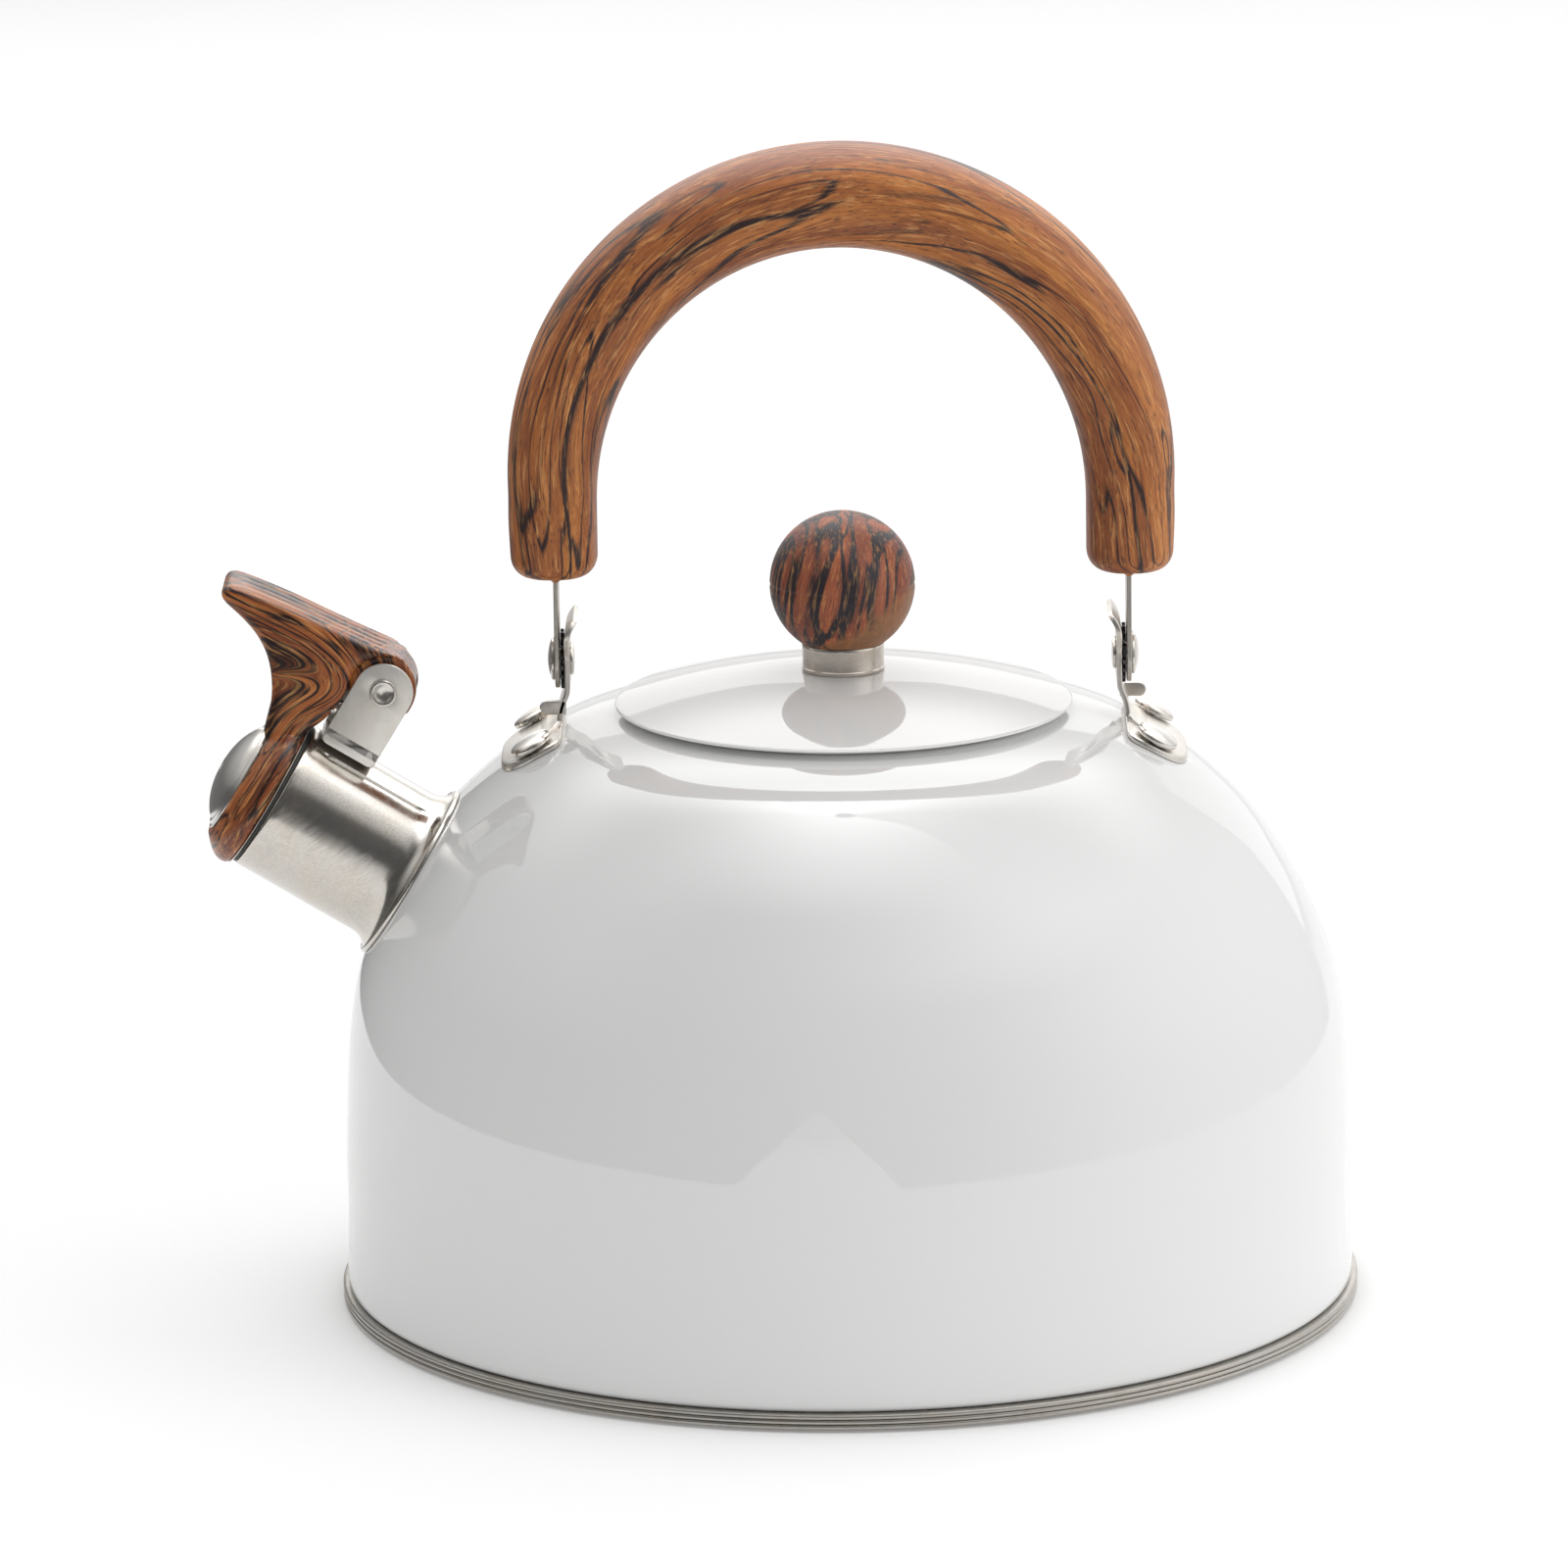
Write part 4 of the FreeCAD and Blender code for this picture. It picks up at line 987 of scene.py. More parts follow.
# printed grain: follows the lever's length, then turns round the cap
line = np.array(cubic([(25.0, 31.0), (14.0, 31.5), (4.0, 30.5), (-1.0, 26.0), (2.5, 20.0), (4.6, 14.0), (4.4, 8.0), (4.2, 0.0), (4.2, -16.0)], 240))
ld = np.concatenate([[0], np.cumsum(np.linalg.norm(line[1:] - line[:-1], axis=1))])
pt = np.stack([U, Vv], 1)
lt_ = np.gradient(line, axis=0)
lt_ /= np.linalg.norm(lt_, axis=1)[:, None]
# soft nearest point, so that the print bends without a crease
d2 = ((pt[:, None] - line[None]) ** 2).sum(2)
w_ = np.exp(-(d2 - d2.min(1)[:, None]) / 14.0)
w_ /= w_.sum(1)[:, None]
near = w_ @ line
along_ = w_ @ ld
nrm_ = w_ @ np.stack([-lt_[:, 1], lt_[:, 0]], 1)
g = np.stack([along_, ((pt - near) * nrm_).sum(1) * 1.1 + 0.10 * W, W * 0.4], 1)
set_attr(lever, "grain", g)
piece("whistle_lever_v", lever, WOOD_LEVER, "whistle", ["whistle_lever"], 0)

# ================================================================ whistle dome, rear disc and gasket
dome = [(11.68, 6.65), (11.68, 7.3), (11.55, 7.52), (11.3, 7.55), (11.0, 7.45), (10.85, 7.62), (10.6, 8.0), (10.2, 8.05), (9.95, 8.02)]
arc = cubic([(9.95, 8.02), (9.3, 8.75), (8.2, 9.5), (6.6, 10.3), (4.6, 10.95), (2.8, 11.3), (1.7, 11.4)], 30)[1:]
inn = [(1.45, 11.36), (1.3, 11.2), (1.3, 10.9), (1.5, 10.75)]
back = cubic([(1.5, 10.75), (3.1, 10.6), (5.6, 9.9), (7.8, 8.8), (9.4, 7.5)], 20)[1:]
piece("whistle_front_dome_v", lathe_mesh("dome", np.vstack([dome, arc, inn, back, [(10.4, 7.1), (10.62, 6.65)]]), 128, MO, AX),
      STEEL_DOME, "whistle", ["whistle_front_dome"], 38)
disc = [(1.3, 0.82), (1.3, 1.18), (9.6, 1.18), (9.98, 1.4), (10.02, 3.5), (10.2, 3.58), (10.52, 3.5), (10.56, 1.45), (10.8, 1.18), (15.2, 1.18), (15.42, 1.1), (15.5, 0.98),
        (15.42, 0.86), (15.2, 0.82)]
piece("whistle_rear_disc_v", lathe_mesh("disc", disc, 128, MO, AX), STEEL_DOME, "whistle", ["whistle_rear_disc"], 38)
gas = [(12.62, 0.78), (14.6, 0.78), (14.75, 0.62), (14.78, 0.35), (14.7, 0.14), (14.4, 0.08), (14.05, 0.02), (13.98, -0.3), (13.8, -0.66), (13.45, -0.9), (13.05, -0.82),
       (12.85, -0.55), (12.66, -0.05)]
piece("whistle_gasket_v", lathe_mesh("gas", gas, 128, MO, AX), RUBBER, "whistle", ["whistle_gasket"], 50)

# ================================================================ handle brackets
BP = [(-57.4, None), (-56.2, None), (-55.2, None)]


def bracket_path():
    """(x, z) along the strip's middle: off the foot, round the bend, up, and over at the tip."""
    z56 = z_at(56.0) + 0.95
    z55 = z_at(55.0) + 1.1
    pts = [(-57.0, z_at(57.0) + 0.7), (-56.0, z56), (-54.9, z55 + 0.15), (-53.95, z55 + 1.0), (-53.62, 112.6), (-53.35, 114.3), (-52.75, 116.3),
           (-52.15, 117.9), (-52.0, 119.5), (-52.0, 123.6), (-52.0, 127.6), (-51.93, 128.9), (-51.6, 130.1), (-51.05, 131.2), (-50.25, 132.35)]
    return cubic(pts, 96)


def half_width(z, s):
    if z < 113.0:
        return 5.5 + 2.6 * min(1.0, (113.0 - z) / 2.2) ** 1.6
    if z < 124.6:
        return 5.5
    if z < 129.4:
        k = (z - 124.6) / 4.8
        return 5.5 + 2.5 * (3 * k * k - 2 * k ** 3)
    k = min(1.0, (z - 129.4) / 3.0)
    return 8.0 - 2.2 * (1 - math.sqrt(max(0.0, 1 - k ** 2.2)))


def foot_mesh():
    yh = 15.5
    base = [(-53.3, -13.0), (-53.9, -14.8), (-55.6, -yh), (-58.2, -15.4), (-60.9, -14.4), (-63.2, -12.0), (-64.5, -8.0), (-64.75, -3.5), (-64.75, 3.5), (-64.5, 8.0),
            (-63.2, 12.0), (-60.9, 14.4), (-58.2, 15.4), (-55.6, yh), (-53.9, 14.8), (-53.3, 13.0), (-53.2, 7.0), (-53.2, 0.0), (-53.2, -7.0)]
    out = closed_cubic(base, 150)
    cen = np.array([-58.8, 0.0])
    rings = []
    t = 1.15
    prof = [(0.0, 0.03, True), (0.35, 0.03, True), (0.7, 0.03, True), (0.93, 0.03, True), (0.985, 0.06, False), (0.997, 0.18, False), (1.0, 0.4, False), (1.0, t - 0.3, False),
            (0.994, t - 0.1, False), (0.975, t - 0.01, False), (0.93, t, True), (0.7, t, True), (0.35, t, True), (0.0, t, True)]
    for f, h, _ in prof:
        ring = []
        for p in out:
            q = cen + (p - cen) * f
            ring.append((q[0], q[1], z_at(math.hypot(q[0], q[1]), h)))
        rings.append(ring)
    verts = [p for ring in rings[1:-1] for p in ring]
    nr, nc = len(rings) - 2, len(out)
    faces = grid_faces(nr, nc, False, True)
    for r, h in ((0, 0.03), (nr - 1, t)):
        c = len(verts)
        verts.append((cen[0], cen[1], z_at(math.hypot(*cen), h)))
        for j in range(nc):
            faces.append((r * nc + j, r * nc + (j + 1) % nc, c))
    me = new_mesh("foot", verts, faces)
    holes = []
    for yy in (-11.0, 11.0):
        cc, nn_ = seat(-58.0, yy)
        holes.append(lathe_mesh("h", [(0, -6), (2.0, -6), (2.0, 6), (0, 6)], 24, cc, nn_, closed=False))
    return boolean(me, holes)


def strip_part():
    path = bracket_path()
    half = [half_width(z, 0) for z in path[:, 1]]
    rings = strip_mesh("s", path, half, 1.0, 0.22, 3, 8)
    me = loft_mesh("strip", rings)
    return boolean(me, [lathe_mesh("h", [(0, -60), (2.0, -60), (2.0, -40), (0, -40)], 32, (0, 0, PIVOT_Z), (1, 0, 0), closed=False)])


def tab_part():
    o = [(-52.3, 113.95), (-55.9, 113.95)] + [(-55.95 - 1.35 * math.cos(a), 115.3 + 1.35 * math.sin(a)) for a in np.linspace(-math.pi / 2, math.pi / 2, 13)] + [
        (-55.9, 116.65), (-52.3, 116.65)]
    return plate_mesh("tab", [dense(o, 0.6)], 1.0, 0.22, (0, -5.0, 0), (1, 0, 0), (0, 0, 1), 3)


left = join([foot_mesh(), strip_part(), tab_part()], "bracket_left_v")
right = left.copy()
right.transform(Matrix.Rotation(math.pi, 4, "Z"))
right.name = "bracket_right_v"
piece("bracket_left_v", left, STEEL_PLATE, "kettle", ["bracket_left"], 32)
piece("bracket_right_v", right, STEEL_PLATE, "kettle", ["bracket_right"], 32)

riv = [(0, -1.88), (2.4, -1.85), (3.0, -1.75), (3.2, -1.5), (3.15, -0.9), (2.9, -0.72), (1.96, -0.7), (1.96, 0.0), (1.96, 1.42), (3.7, 1.46), (4.0, 1.55), (4.1, 1.8), (4.1, 2.2), (3.98, 2.5),
       (3.7, 2.72), (3.0, 2.98), (2.2, 3.15), (1.2, 3.28), (0.5, 3.31), (0, 3.31)]
for nm_, x, y in RIVETS:
    c, n = seat(x, y)
    piece("bracket_rivet_%s_v" % nm_, lathe_mesh("r", riv, 64, c, n, closed=False), STEEL_BRIGHT, "kettle",
          ["bracket_rivet_" + nm_], 40)

# ================================================================ handle pivots and toothed washers
HX = 53.9 + 0.45 + 0.03
for side, s in (("left", -1), ("right", 1)):
    ax = (s, 0, 0)
    pv = [(0, 50.62), (1.2, 50.64), (2.4, 50.72), (2.95, 50.9), (3.1, 51.15), (3.08, 51.4), (2.95, 51.49), (1.98, 51.5), (1.98, 53.0), (1.98, HX), (3.7, HX), (4.0, HX + 0.08), (4.1, HX + 0.25), (4.05, HX + 0.5),
          (3.7, HX + 0.72), (3.0, HX + 0.98), (2.0, HX + 1.22), (1.0, HX + 1.36), (0, HX + 1.4)]
    piece("handle_pivot_rivet_%s_v" % side, lathe_mesh("p", pv, 64, (0, 0, PIVOT_Z), ax, closed=False), STEEL_BRIGHT, "kettle",
          ["handle_pivot_rivet_" + side], 40)
    # ring of twisted teeth
    nT, rings = 18, []
    x0, x1 = 52.52, 53.40
    for i in range(nT * 6):
        k = (i % 6) / 6.0
        a = 2 * math.pi * i / (nT * 6)
        tooth = 1.0 if 0.15 < k < 0.62 else 0.0
        ro = 4.55 + 1.13 * tooth
        tw = (k - 0.38) * 1.5 * tooth
        xm = (x0 + x1) / 2
        half = 0.30
        inner = [(2.06, xm - half), (2.06, xm + half)]
        outer = [(ro, xm + half * 0.8 + tw * 0.3), (ro, xm - half * 0.8 + tw * 0.3)]
        ring = []
        for r, xx in inner + [(3.6, xm + half), (4.5, xm + half)] + outer + [(4.5, xm - half), (3.6, xm - half)]:
            ring.append((s * min(max(xx, x0), x1), r * math.cos(a), PIVOT_Z + r * math.sin(a)))
        rings.append(ring)
    verts = [p for ring in rings for p in ring]
    me = new_mesh("w", verts, grid_faces(len(rings), len(rings[0]), True, True))
    piece("friction_washer_%s_v" % side, me, BLACK_STEEL, "kettle", ["friction_washer_" + side], 30)

# ================================================================ handle tangs
for side, s in (("left", -1), ("right", 1)):
    o = [(5.5 * math.cos(a), PIVOT_Z - 5.5 * math.sin(a)) for a in np.linspace(0, math.pi, 33)] + [(-5.5, 151.8), (5.5, 151.8)]
    me = plate_mesh("t", [dense(o, 1.2), circle(0, PIVOT_Z, 2.05, 32)], 0.88, 0.18, (s * 53.9, 0, 0), (0, 1, 0), (0, 0, 1), 3)
    piece("handle_tang_%s_v" % side, me, STEEL_STRIP, "handle", ["handle_tang_" + side], 32)

# ================================================================ handle grip
IN_A, IN_B, IN_Z, OUT_R, OUT_Z, END_Z = 45.97, 48.42, 153.7, 62.7, 159.0, 140.2


def grip_pair(s):
    """Outer and inner point at s in 0..1 from the left end to the right end."""
    zl = IN_Z - END_Z
    la = math.pi * 47.2
    tot = 2 * zl + la
    d = s * tot
    if d < zl:
        z = END_Z + d
        xo = -OUT_R + 0.5 * max(0.0, (152.0 - z) / 12.0) ** 1.5
        return np.array([xo, z]), np.array([-IN_A, z])
    if d > zl + la:
        z = END_Z + (tot - d)
        xo = OUT_R - 0.5 * max(0.0, (152.0 - z) / 12.0) ** 1.5
        return np.array([xo, z]), np.array([IN_A, z])
    t = (d - zl) / la * math.pi
    xi, zi = -IN_A * math.cos(t), IN_Z + IN_B * math.sin(t)
    nx, nz = -math.cos(t) * IN_B, math.sin(t) * IN_A
    l = math.hypot(nx, nz)
    nx, nz = nx / l, nz / l
    dx, dz = xi, zi - OUT_Z
    bq, cq = dx * nx + dz * nz, dx * dx + dz * dz - OUT_R ** 2
    dd = -bq + math.sqrt(bq * bq - cq)
    return np.array([xi + nx * dd, zi + nz * dd]), np.array([xi, zi])


NS, NC = 240, 72
pairs = [grip_pair(s) for s in np.linspace(0, 1, NS)]
po = np.array([p[0] for p in pairs])
pi_ = np.array([p[1] for p in pairs])
# ease the joins between legs and arch
for _ in range(6):
    po[1:-1] = po[1:-1] * 0.5 + (po[:-2] + po[2:]) * 0.25
    pi_[1:-1] = pi_[1:-1] * 0.5 + (pi_[:-2] + pi_[2:]) * 0.25
mid = (po + pi_) / 2
cum = np.concatenate([[0], np.cumsum(np.linalg.norm(mid[1:] - mid[:-1], axis=1))])
rings, grs = [], []


def grip_ring(i, shrink, back, s_mm):
    k = math.sin(math.pi * i / (NS - 1))
    dep = (19.5 + 2.5 * k) / 2
    c_ = mid[i].copy()
    h = (po[i] - pi_[i]) / 2
    hl = np.linalg.norm(h)
    hd = h / hl
    tdir = np.array([0.0, -1.0])
    c_ = c_ + tdir * back
    ring, gr = [], []
    for j in range(NC):
        a = 2 * math.pi * j / NC
        ca, sa = math.cos(a), math.sin(a)
        e = 0.84
        fx = math.copysign(abs(ca) ** e, ca) * (hl - shrink)
        fy = math.copysign(abs(sa) ** e, sa) * (dep - shrink)
        ring.append((c_[0] + hd[0] * fx, fy, c_[1] + hd[1] * fx))
        gr.append((s_mm, fy, fx))
    return ring, gr


RC = 3.0
caps = [(RC * (1 - math.cos(a)), RC * math.sin(a)) for a in np.linspace(0, math.pi / 2, 9)]   # (shrink, forward)
start = int(np.searchsorted(mid[:NS // 2, 1], END_Z + RC))
for end in (0, 1):
    seq = []
    idx0 = start if end == 0 else NS - 1 - start
    zc = mid[idx0, 1] - END_Z
    for sh, fw in caps:
        seq.append((idx0, sh * 1.0, fw * zc / RC, cum[idx0] + (-fw if end == 0 else fw)))
    for f in (0.75, 0.5, 0.25, 0.08):
        hl = np.linalg.norm(po[idx0] - pi_[idx0]) / 2
        seq.append((idx0, RC + (hl - RC) * (1 - f) * 0.98, zc, cum[idx0] + (-RC if end == 0 else RC)))
    made = [grip_ring(*q) for q in seq]
    if end == 0:
        made = made[::-1]
        rings += [m_[0] for m_ in made]
        grs += [m_[1] for m_ in made]
        for i in range(start + 1, NS - 1 - start):
            a_, b_ = grip_ring(i, 0.0, 0.0, cum[i])
            rings.append(a_)
            grs.append(b_)
    else:
        rings += [m_[0] for m_ in made]
        grs += [m_[1] for m_ in made]
nr = len(rings)
verts = [p for r in rings for p in r]
faces = grid_faces(nr, NC, False, True)
grv = [g_ for r in grs for g_ in r]
for r in (0, nr - 1):
    c_ = len(verts)
    verts.append(np.mean(rings[r], axis=0))
    grv.append(tuple(np.mean(grs[r], axis=0)))
    for j in range(NC):
        faces.append((r * NC + j, r * NC + (j + 1) % NC, c_))
me = bpy.data.meshes.new("grip")
me.from_pydata([tuple(float(q) * MM for q in v) for v in verts], [], faces)
bm = bmesh.new()
bm.from_mesh(me)
bmesh.ops.recalc_face_normals(bm, faces=bm.faces)
bm.to_mesh(me)
bm.free()
# the print wraps the grip: a twist along it and a little skew
gv = np.array(grv)
tw = gv[:, 0] * 0.006
gg = np.stack([gv[:, 0], gv[:, 1] * np.cos(tw) - gv[:, 2] * np.sin(tw) + gv[:, 0] * 0.05, gv[:, 1] * np.sin(tw) + gv[:, 2] * np.cos(tw)], 1)
set_attr(me, "grain", gg)
piece("handle_grip_v", me, WOOD_GRIP, "handle", ["handle_grip"], 0)
# little moulded bosses where the strips leave the grip
for side, s in (("left", -1), ("right", 1)):
    rings = []
    for f, z in ((1.5, 140.9), (1.45, 140.3), (1.2, 139.8), (0.85, 139.55), (0.6, 139.5)):
        rings.append([(s * 53.9 + math.copysign(abs(math.cos(a)) ** 0.8, math.cos(a)) * f, math.copysign(abs(math.sin(a)) ** 0.5, math.sin(a)) * (5.5 + f * 0.6), z)
                      for a in [2 * math.pi * k / 40 for k in range(40)]])
    me = loft_mesh("boss", rings)
    cc = coords(me)
    set_attr(me, "grain", np.stack([cc[:, 2], cc[:, 1], cc[:, 0] - s * 54.0], 1))
    piece("handle_grip_boss_%s" % side, me, WOOD_GRIP, "handle", (), 30)

# ================================================================ lid
lt = cubic([(3.9, 121.04), (7.85, 121.0), (12.0, 120.85), (18.0, 120.35), (24.0, 119.55), (30.0, 118.5), (36.0, 117.15), (40.0, 116.1), (42.0, 115.55)], 60)
li = lt - np.array([0.05, 0.6])
rim = [(42.6, 115.38), (43.0, 115.22), (43.2, 115.04), (43.22, 114.9), (43.1, 114.76), (42.85, 114.68), (42.55, 114.7), (42.4, 114.78)]
cover = np.vstack([lt, rim, li[::-1][1:]])
cover[-1] = (3.9, 120.44)
cover = np.vstack([cover, [(2.15, 120.44), (2.15, 121.04)]])
piece("lid_cover_v", lathe_mesh("lid", cover, 224), ENAMEL_LID, "lid", ["lid_cover"], 42)
sk = [(39.28, 105.7), (39.1, 105.52), (38.9, 105.7), (38.88, 110), (38.88, 113.7), (39.1, 114.3), (39.6, 114.6), (40.4, 114.62), (41.3, 114.62), (41.55, 114.5), (41.55, 114.32), (41.3, 114.22), (40.0, 114.24),
      (39.45, 113.9), (39.28, 113.3), (39.28, 110)]
piece("lid_skirt_v", lathe_mesh("skirt", sk, 192), STEEL_PLATE, "lid", ["lid_skirt"], 40)

# ================================================================ knob
KR, KZ = 13.72, 137.6
prof = []
for a in np.linspace(math.pi / 2, -math.asin((KZ - 126.32) / KR), 130):
    r = KR
    d = abs(a) * KR
    if d < 0.55:
        r -= 0.16 * (1 - d / 0.55) ** 0.6
        r += 0.05 * math.exp(-((d - 0.4) / 0.12) ** 2)
    prof.append((max(0.0, r * math.cos(a)) if a < math.pi / 2 - 1e-6 else 0.0, KZ + r * math.sin(a)))
prof += [(7.4, 126.34), (5.0, 126.34), (3.25, 126.34), (3.22, 130), (3.22, 137.3), (3.0, 137.35), (0, 137.35)]
me = lathe_mesh("ball", prof, 160, closed=False)
cc = coords(me)
cc = cc - np.array([0, 0, KZ])
t_ = math.radians(12)
gx = cc[:, 2] * math.cos(t_) + cc[:, 0] * math.sin(t_)
gy = cc[:, 0] * math.cos(t_) - cc[:, 2] * math.sin(t_)
set_attr(me, "grain", np.stack([gx, gy + 0.012 * gx * np.abs(gx), cc[:, 1] * 0.55], 1))
piece("knob_ball_v", me, WOOD_KNOB, "lid", ["knob_ball"], 50)
col = rpoly([(2.15, 121.06), (7.84, 121.06), (7.84, 126.3), (2.15, 126.3)], [0.05, 0.22, 0.22, 0.05], 4)
col = [(2.15, 121.06), (7.55, 121.06), (7.75, 121.12), (7.84, 121.35), (7.84, 121.7), (7.72, 121.85), (7.72, 122.2), (7.72, 125.4), (7.80, 125.6), (7.84, 125.9), (7.75, 126.2), (7.5, 126.3), (2.15, 126.3)]
piece("knob_collar_v", lathe_mesh("collar", col, 96), STEEL_COLLAR, "lid", ["knob_collar"], 35)
ins = [(2.03, 126.35), (3.0, 126.35), (3.18, 126.55)]
for k in range(9):
    ins += [(3.18, 126.9 + k * 1.1), (3.0, 127.15 + k * 1.1), (3.0, 127.45 + k * 1.1), (3.18, 127.7 + k * 1.1)]
ins += [(3.0, 137.1), (2.03, 137.1)]
piece("knob_insert_v", lathe_mesh("ins", ins, 48), BRASS, "lid", ["knob_insert"], 30)
scr = [(0, 116.76), (1.5, 116.9), (2.7, 117.35), (3.4, 117.85), (3.72, 118.3), (3.78, 118.9), (3.7, 119.5), (3.4, 119.6), (2.0, 119.6)]
for k in range(22):
    scr += [(2.0, 119.8 + k * 0.7), (1.75, 120.15 + k * 0.7)]
scr += [(1.5, 135.2), (0, 135.28)]
me = lathe_mesh("scr", scr, 48, closed=False)
me = boolean(me, [plate_mesh("x", [rpoly([(-2.2, -0.4), (2.2, -0.4), (2.2, 0.4), (-2.2, 0.4)], 0.1, 2)], 1.6, 0.05, (0, 0, 117.0), (1, 0, 0), (0, 1, 0), 1),
                  plate_mesh("x", [rpoly([(-0.4, -2.2), (0.4, -2.2), (0.4, 2.2), (-0.4, 2.2)], 0.1, 2)], 1.6, 0.05, (0, 0, 117.0), (1, 0, 0), (0, 1, 0), 1)])
piece("knob_screw_v", me, STEEL_BRIGHT, "lid", ["knob_screw"], 30)
wsh = rpoly([(2.15, 119.63), (4.58, 119.63), (4.58, 120.41), (2.15, 120.41)], 0.15, 3)
piece("knob_lock_washer_v", lathe_mesh("wsh", wsh, 64), STEEL_BRIGHT, "lid", ["knob_lock_washer"], 30)

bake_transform(SPRING)

# ================================================================ floor, light, camera
def floor():
    n, half = 60, 6000.0
    verts = []
    for i in range(n + 1):
        for j in range(n + 1):
            x, y = -half + 2 * half * i / n, -half + 2 * half * j / n
            verts.append((x, y, 0.0))
    me = new_mesh("floor", verts, grid_faces(n + 1, n + 1, False, False))
    m = Nodes("pale_floor")
    k = m.noise(m.obj(), 3.0, 3, 0.5).outputs[0]
    m.set("Base Color", m.ramp(k, [(0.3, (0.93, 0.93, 0.93)), (0.7, (0.95, 0.95, 0.95))]))
    m.bsdf.inputs["Emission Color"].default_value = (1.0, 1.0, 1.0, 1.0)
    m.bsdf.inputs["Emission Strength"].default_value = 0.13
    m.bsdf.inputs["Roughness"].default_value = 0.9
    m.bsdf.inputs["Specular IOR Level"].default_value = 0.1
    o = bpy.data.objects.new("floor", me)
    scene.collection.objects.link(o)
    me.materials.append(m.mat)


floor()

world = bpy.data.worlds.new("studio")
scene.world = world
world.use_nodes = True
wt = world.node_tree
bg = wt.nodes["Background"]
# the room is brighter on the right than on the left
tc, sx = wt.nodes.new("ShaderNodeTexCoord"), wt.nodes.new("ShaderNodeSeparateXYZ")
mr = wt.nodes.new("ShaderNodeMapRange")
mr.interpolation_type = "SMOOTHSTEP"
for k_, v_ in zip(("From Min", "From Max", "To Min", "To Max"), (-1.0, 1.0, 0.33, 0.90)):
    mr.inputs[k_].default_value = v_
wt.links.new(tc.outputs["Generated"], sx.inputs[0])
wt.links.new(sx.outputs[0], mr.inputs["Value"])
bg.inputs[0].default_value = (1.0, 1.0, 1.0, 1)
mb, ad = wt.nodes.new("ShaderNodeMapRange"), wt.nodes.new("ShaderNodeMath")
mb.interpolation_type = "SMOOTHSTEP"
for k_, v_ in zip(("From Min", "From Max", "To Min", "To Max"), (0.0, 0.95, 0.0, 0.42)):
    mb.inputs[k_].default_value = v_
wt.links.new(sx.outputs[1], mb.inputs["Value"])
wt.links.new(mr.outputs[0], ad.inputs[0])
wt.links.new(mb.outputs[0], ad.inputs[1])
wt.links.new(ad.outputs[0], bg.inputs[1])


def area(name, loc, target, size, size_y, power, color=(1, 1, 1)):
    d = bpy.data.lights.new(name, "AREA")
    d.shape, d.size, d.size_y = "RECTANGLE", size, size_y
    d.energy, d.color = power, color
    o = bpy.data.objects.new(name, d)
    scene.collection.objects.link(o)
    o.location = loc
    v = Vector(target) - Vector(loc)
    o.rotation_mode = "QUATERNION"
    o.rotation_quaternion = v.to_track_quat("-Z", "Y")
    return o


area("key_right", (1.35, -0.45, 0.75), (0, 0, 0.08), 0.9, 0.9, 3.4)
area("fill_left", (-0.75, -0.25, 1.25), (0, 0, 0.08), 0.6, 0.6, 1.5)
area("top", (0.0, 0.1, 1.6), (0, 0, 0.1), 1.3, 1.3, 5.0)
area("back", (-0.1, 1.5, 0.6), (0, 0, 0.1), 1.4, 0.7, 1.6)


def ease(t):
    t = min(1.0, max(0.0, t))
    return t * t * (3 - 2 * t)


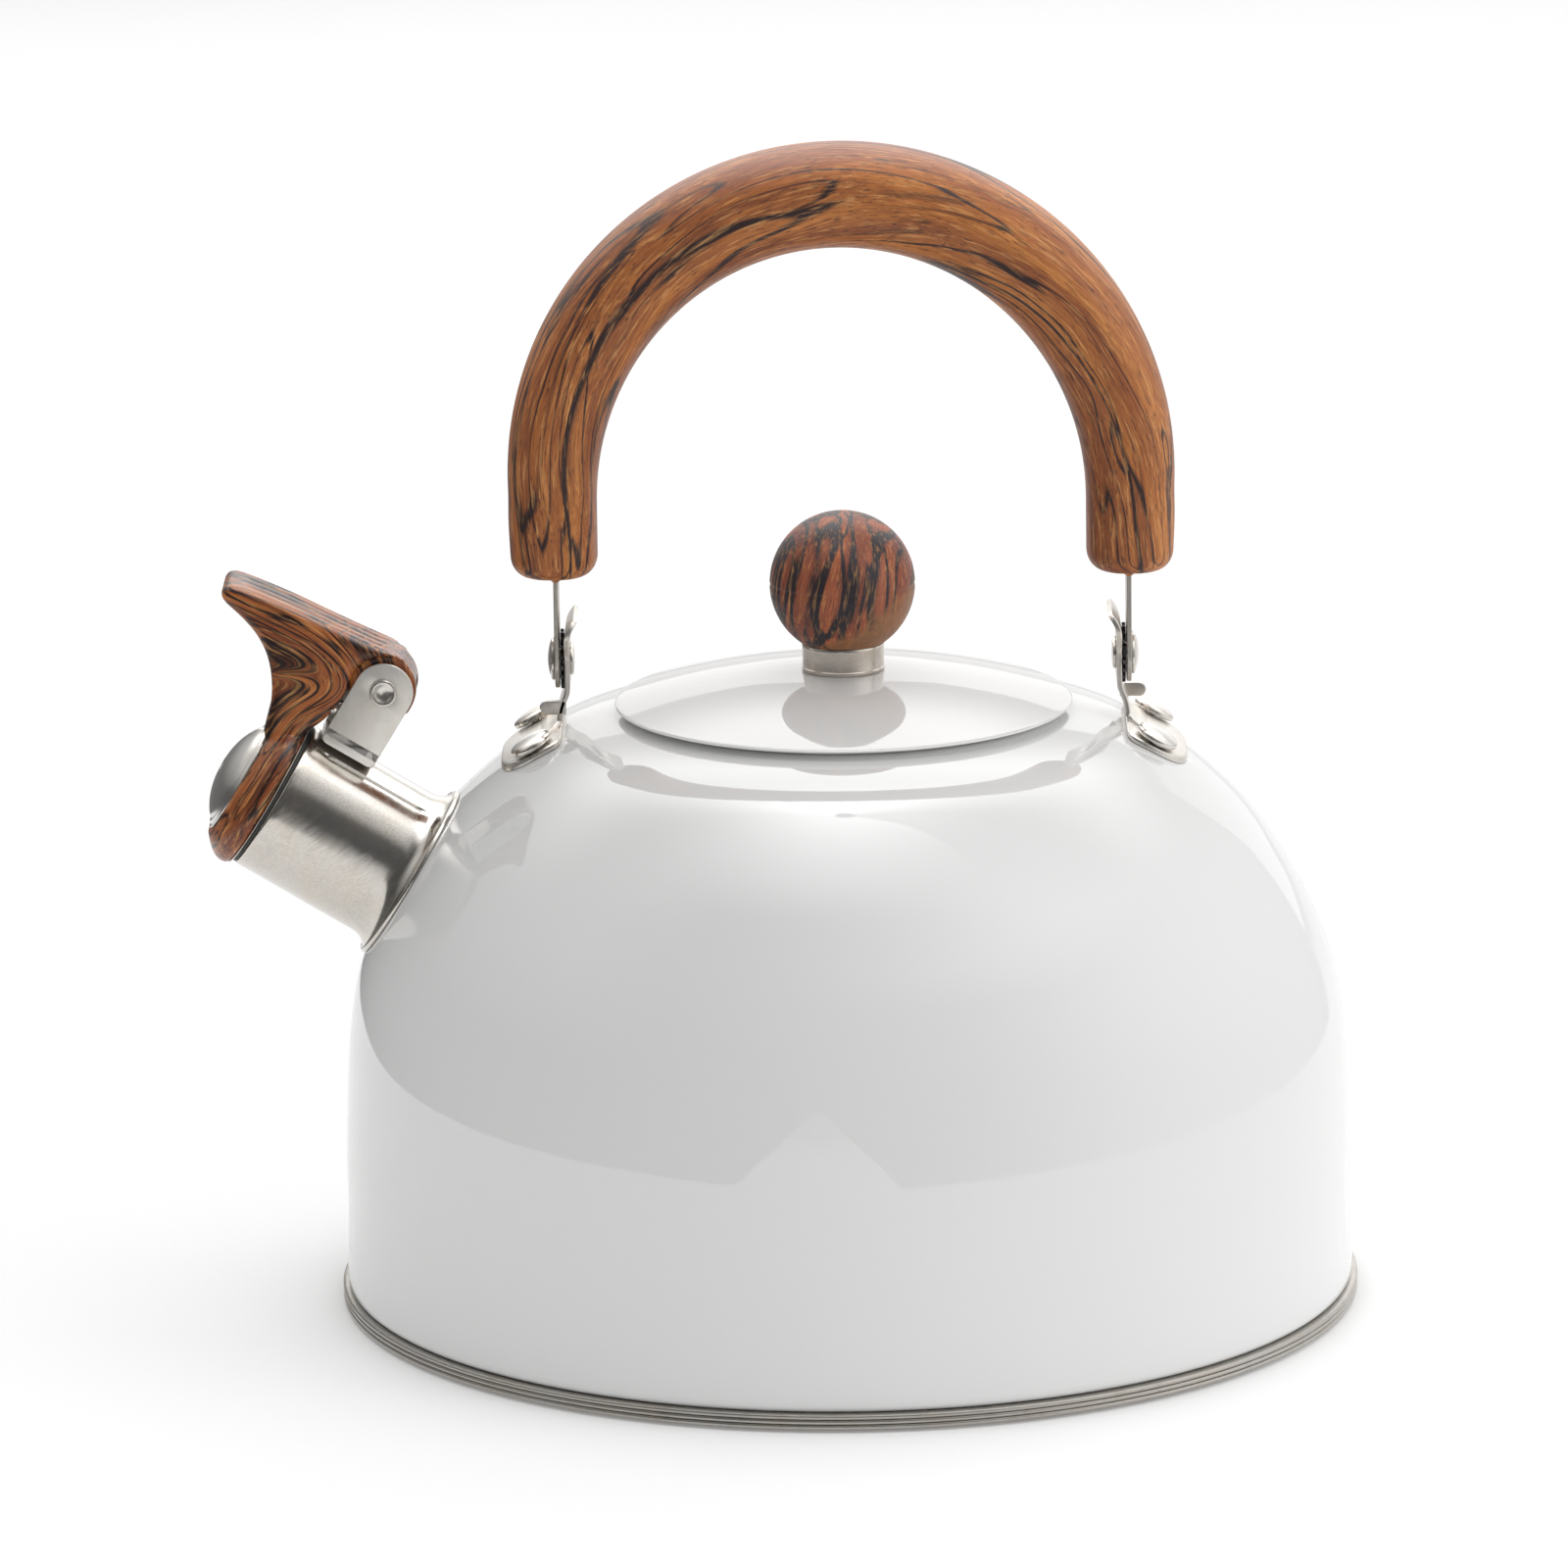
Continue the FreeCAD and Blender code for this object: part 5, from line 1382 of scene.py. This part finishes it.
def studio_card():
    """Curved card round the front of the set that only mirrors show: the dim room with its soft boxes."""
    cx, cy, cz, rad = 0.0, 0.0, 0.045, 0.36
    na, ne = 150, 60
    verts, val = [], []
    for i in range(na + 1):
        az = math.radians(-152 + 286 * i / na)
        for j in range(ne + 1):
            top = 88.5
            low = -6.9 + 14 * max(0.0, 1 - abs(math.degrees(az) + 6) / 15)
            el = math.radians(low + (top - low) * j / ne)
            verts.append((1000 * (cx + rad * math.cos(el) * math.sin(az)), 1000 * (cy - rad * math.cos(el) * math.cos(az)),
                          1000 * (cz + rad * math.sin(el))))
            a, e_ = math.degrees(az), math.degrees(el)
            base = 0.10 + 0.65 / (1 + math.exp(-(a - 44) / 9)) + 0.12 * max(0.0, (-a - 60) / 90)
            base += 0.55 * min(1.0, max(0.0, (e_ - 14) / 22)) * min(1.0, max(0.0, (-a - 40) / 30))
            base += 0.9 * min(1.0, max(0.0, (e_ - 33) / 10)) * math.exp(-((a - 45) / 40) ** 2)
            behind = 1.9 * ease((e_ - 32) / 20) * ease((abs(a) - 92) / 42)
            up_f = min(1.0, max(0.0, (e_ - 54) / 18))
            up_f = up_f * up_f * (3 - 2 * up_f)
            base = base * (1 - up_f) + 0.9 * up_f
            box = 4.6 * math.exp(-((90 - e_) / 17) ** 2) * (1.0 if a < 60 else 0.6)
            soft = 0.5 * math.exp(-((a - 80) / 40) ** 2 - ((e_ - 30) / 26) ** 2)
            val.append((base + box + soft + behind, 0, 0))
    faces = [tuple(int(k) for k in f) for f in grid_faces(na + 1, ne + 1, False, False)]
    # wedge that closes the dome behind, from the right end of the front card to the left end
    nb, n0 = 40, len(verts)
    for i in range(nb + 1):
        a = 134 + 74 * i / nb
        for j in range(ne + 1):
            e_ = 31 + (88.5 - 31) * j / ne
            az, el = math.radians(a), math.radians(e_)
            verts.append((1000 * (cx + 1.002 * rad * math.cos(el) * math.sin(az)), 1000 * (cy - 1.002 * rad * math.cos(el) * math.cos(az)),
                          1000 * (cz + 1.002 * rad * math.sin(el))))
            val.append((0.95 + 4.0 * math.exp(-((90 - e_) / 17) ** 2) + 1.9 * ease((e_ - 32) / 20), 0, 0))
    faces += [tuple(n0 + int(k) for k in f) for f in grid_faces(nb + 1, ne + 1, False, False)]
    me = new_mesh("studio_card", verts, faces)
    set_attr(me, "glow", val)
    m = bpy.data.materials.new("studio_card")
    m.use_nodes = True
    t = m.node_tree
    t.nodes.clear()
    out, em, at = t.nodes.new("ShaderNodeOutputMaterial"), t.nodes.new("ShaderNodeEmission"), t.nodes.new("ShaderNodeAttribute")
    at.attribute_name = "glow"
    sep = t.nodes.new("ShaderNodeSeparateXYZ")
    t.links.new(at.outputs["Vector"], sep.inputs[0])
    t.links.new(sep.outputs[0], em.inputs["Strength"])
    t.links.new(em.outputs[0], out.inputs[0])
    me.materials.append(m)
    o = bpy.data.objects.new("studio_card", me)
    scene.collection.objects.link(o)
    o.visible_camera = o.visible_diffuse = o.visible_shadow = o.visible_transmission = o.visible_volume_scatter = False


studio_card()

# ---------------------------------------------------------------- camera
EL, ROLL, DIST, F, TX, TY = 13.7615, 0.66, 1950.0, 10500.0, 862.36, 844.94
e = math.radians(EL)
T = np.array([0.0, 0.0, 90.0])
right_ = np.array([1.0, 0.0, 0.0])
back_ = np.array([0.0, -math.cos(e), math.sin(e)])
up_ = np.cross(back_, right_)
ro = math.radians(ROLL)
r2 = right_ * math.cos(ro) - up_ * math.sin(ro)
u2 = right_ * math.sin(ro) + up_ * math.cos(ro)
R0 = Matrix((r2, u2, back_)).transposed()
v_ = Vector((TX - 800.0, -(TY - 800.0), -F)).normalized()
C = v_.rotation_difference(Vector((0, 0, -1))).to_matrix()
cam_d = bpy.data.cameras.new("camera")
cam_d.sensor_width, cam_d.lens = 36.0, F * 36.0 / 1600.0
cam_d.clip_start, cam_d.clip_end = 0.05, 60.0
cam = bpy.data.objects.new("camera", cam_d)
scene.collection.objects.link(cam)
cam.rotation_mode = "QUATERNION"
cam.location = Vector(T + back_ * DIST) * MM
cam.rotation_quaternion = (R0 @ C).to_quaternion()
scene.camera = cam
scene.view_settings.view_transform = "Standard"
scene.view_settings.look = "None"
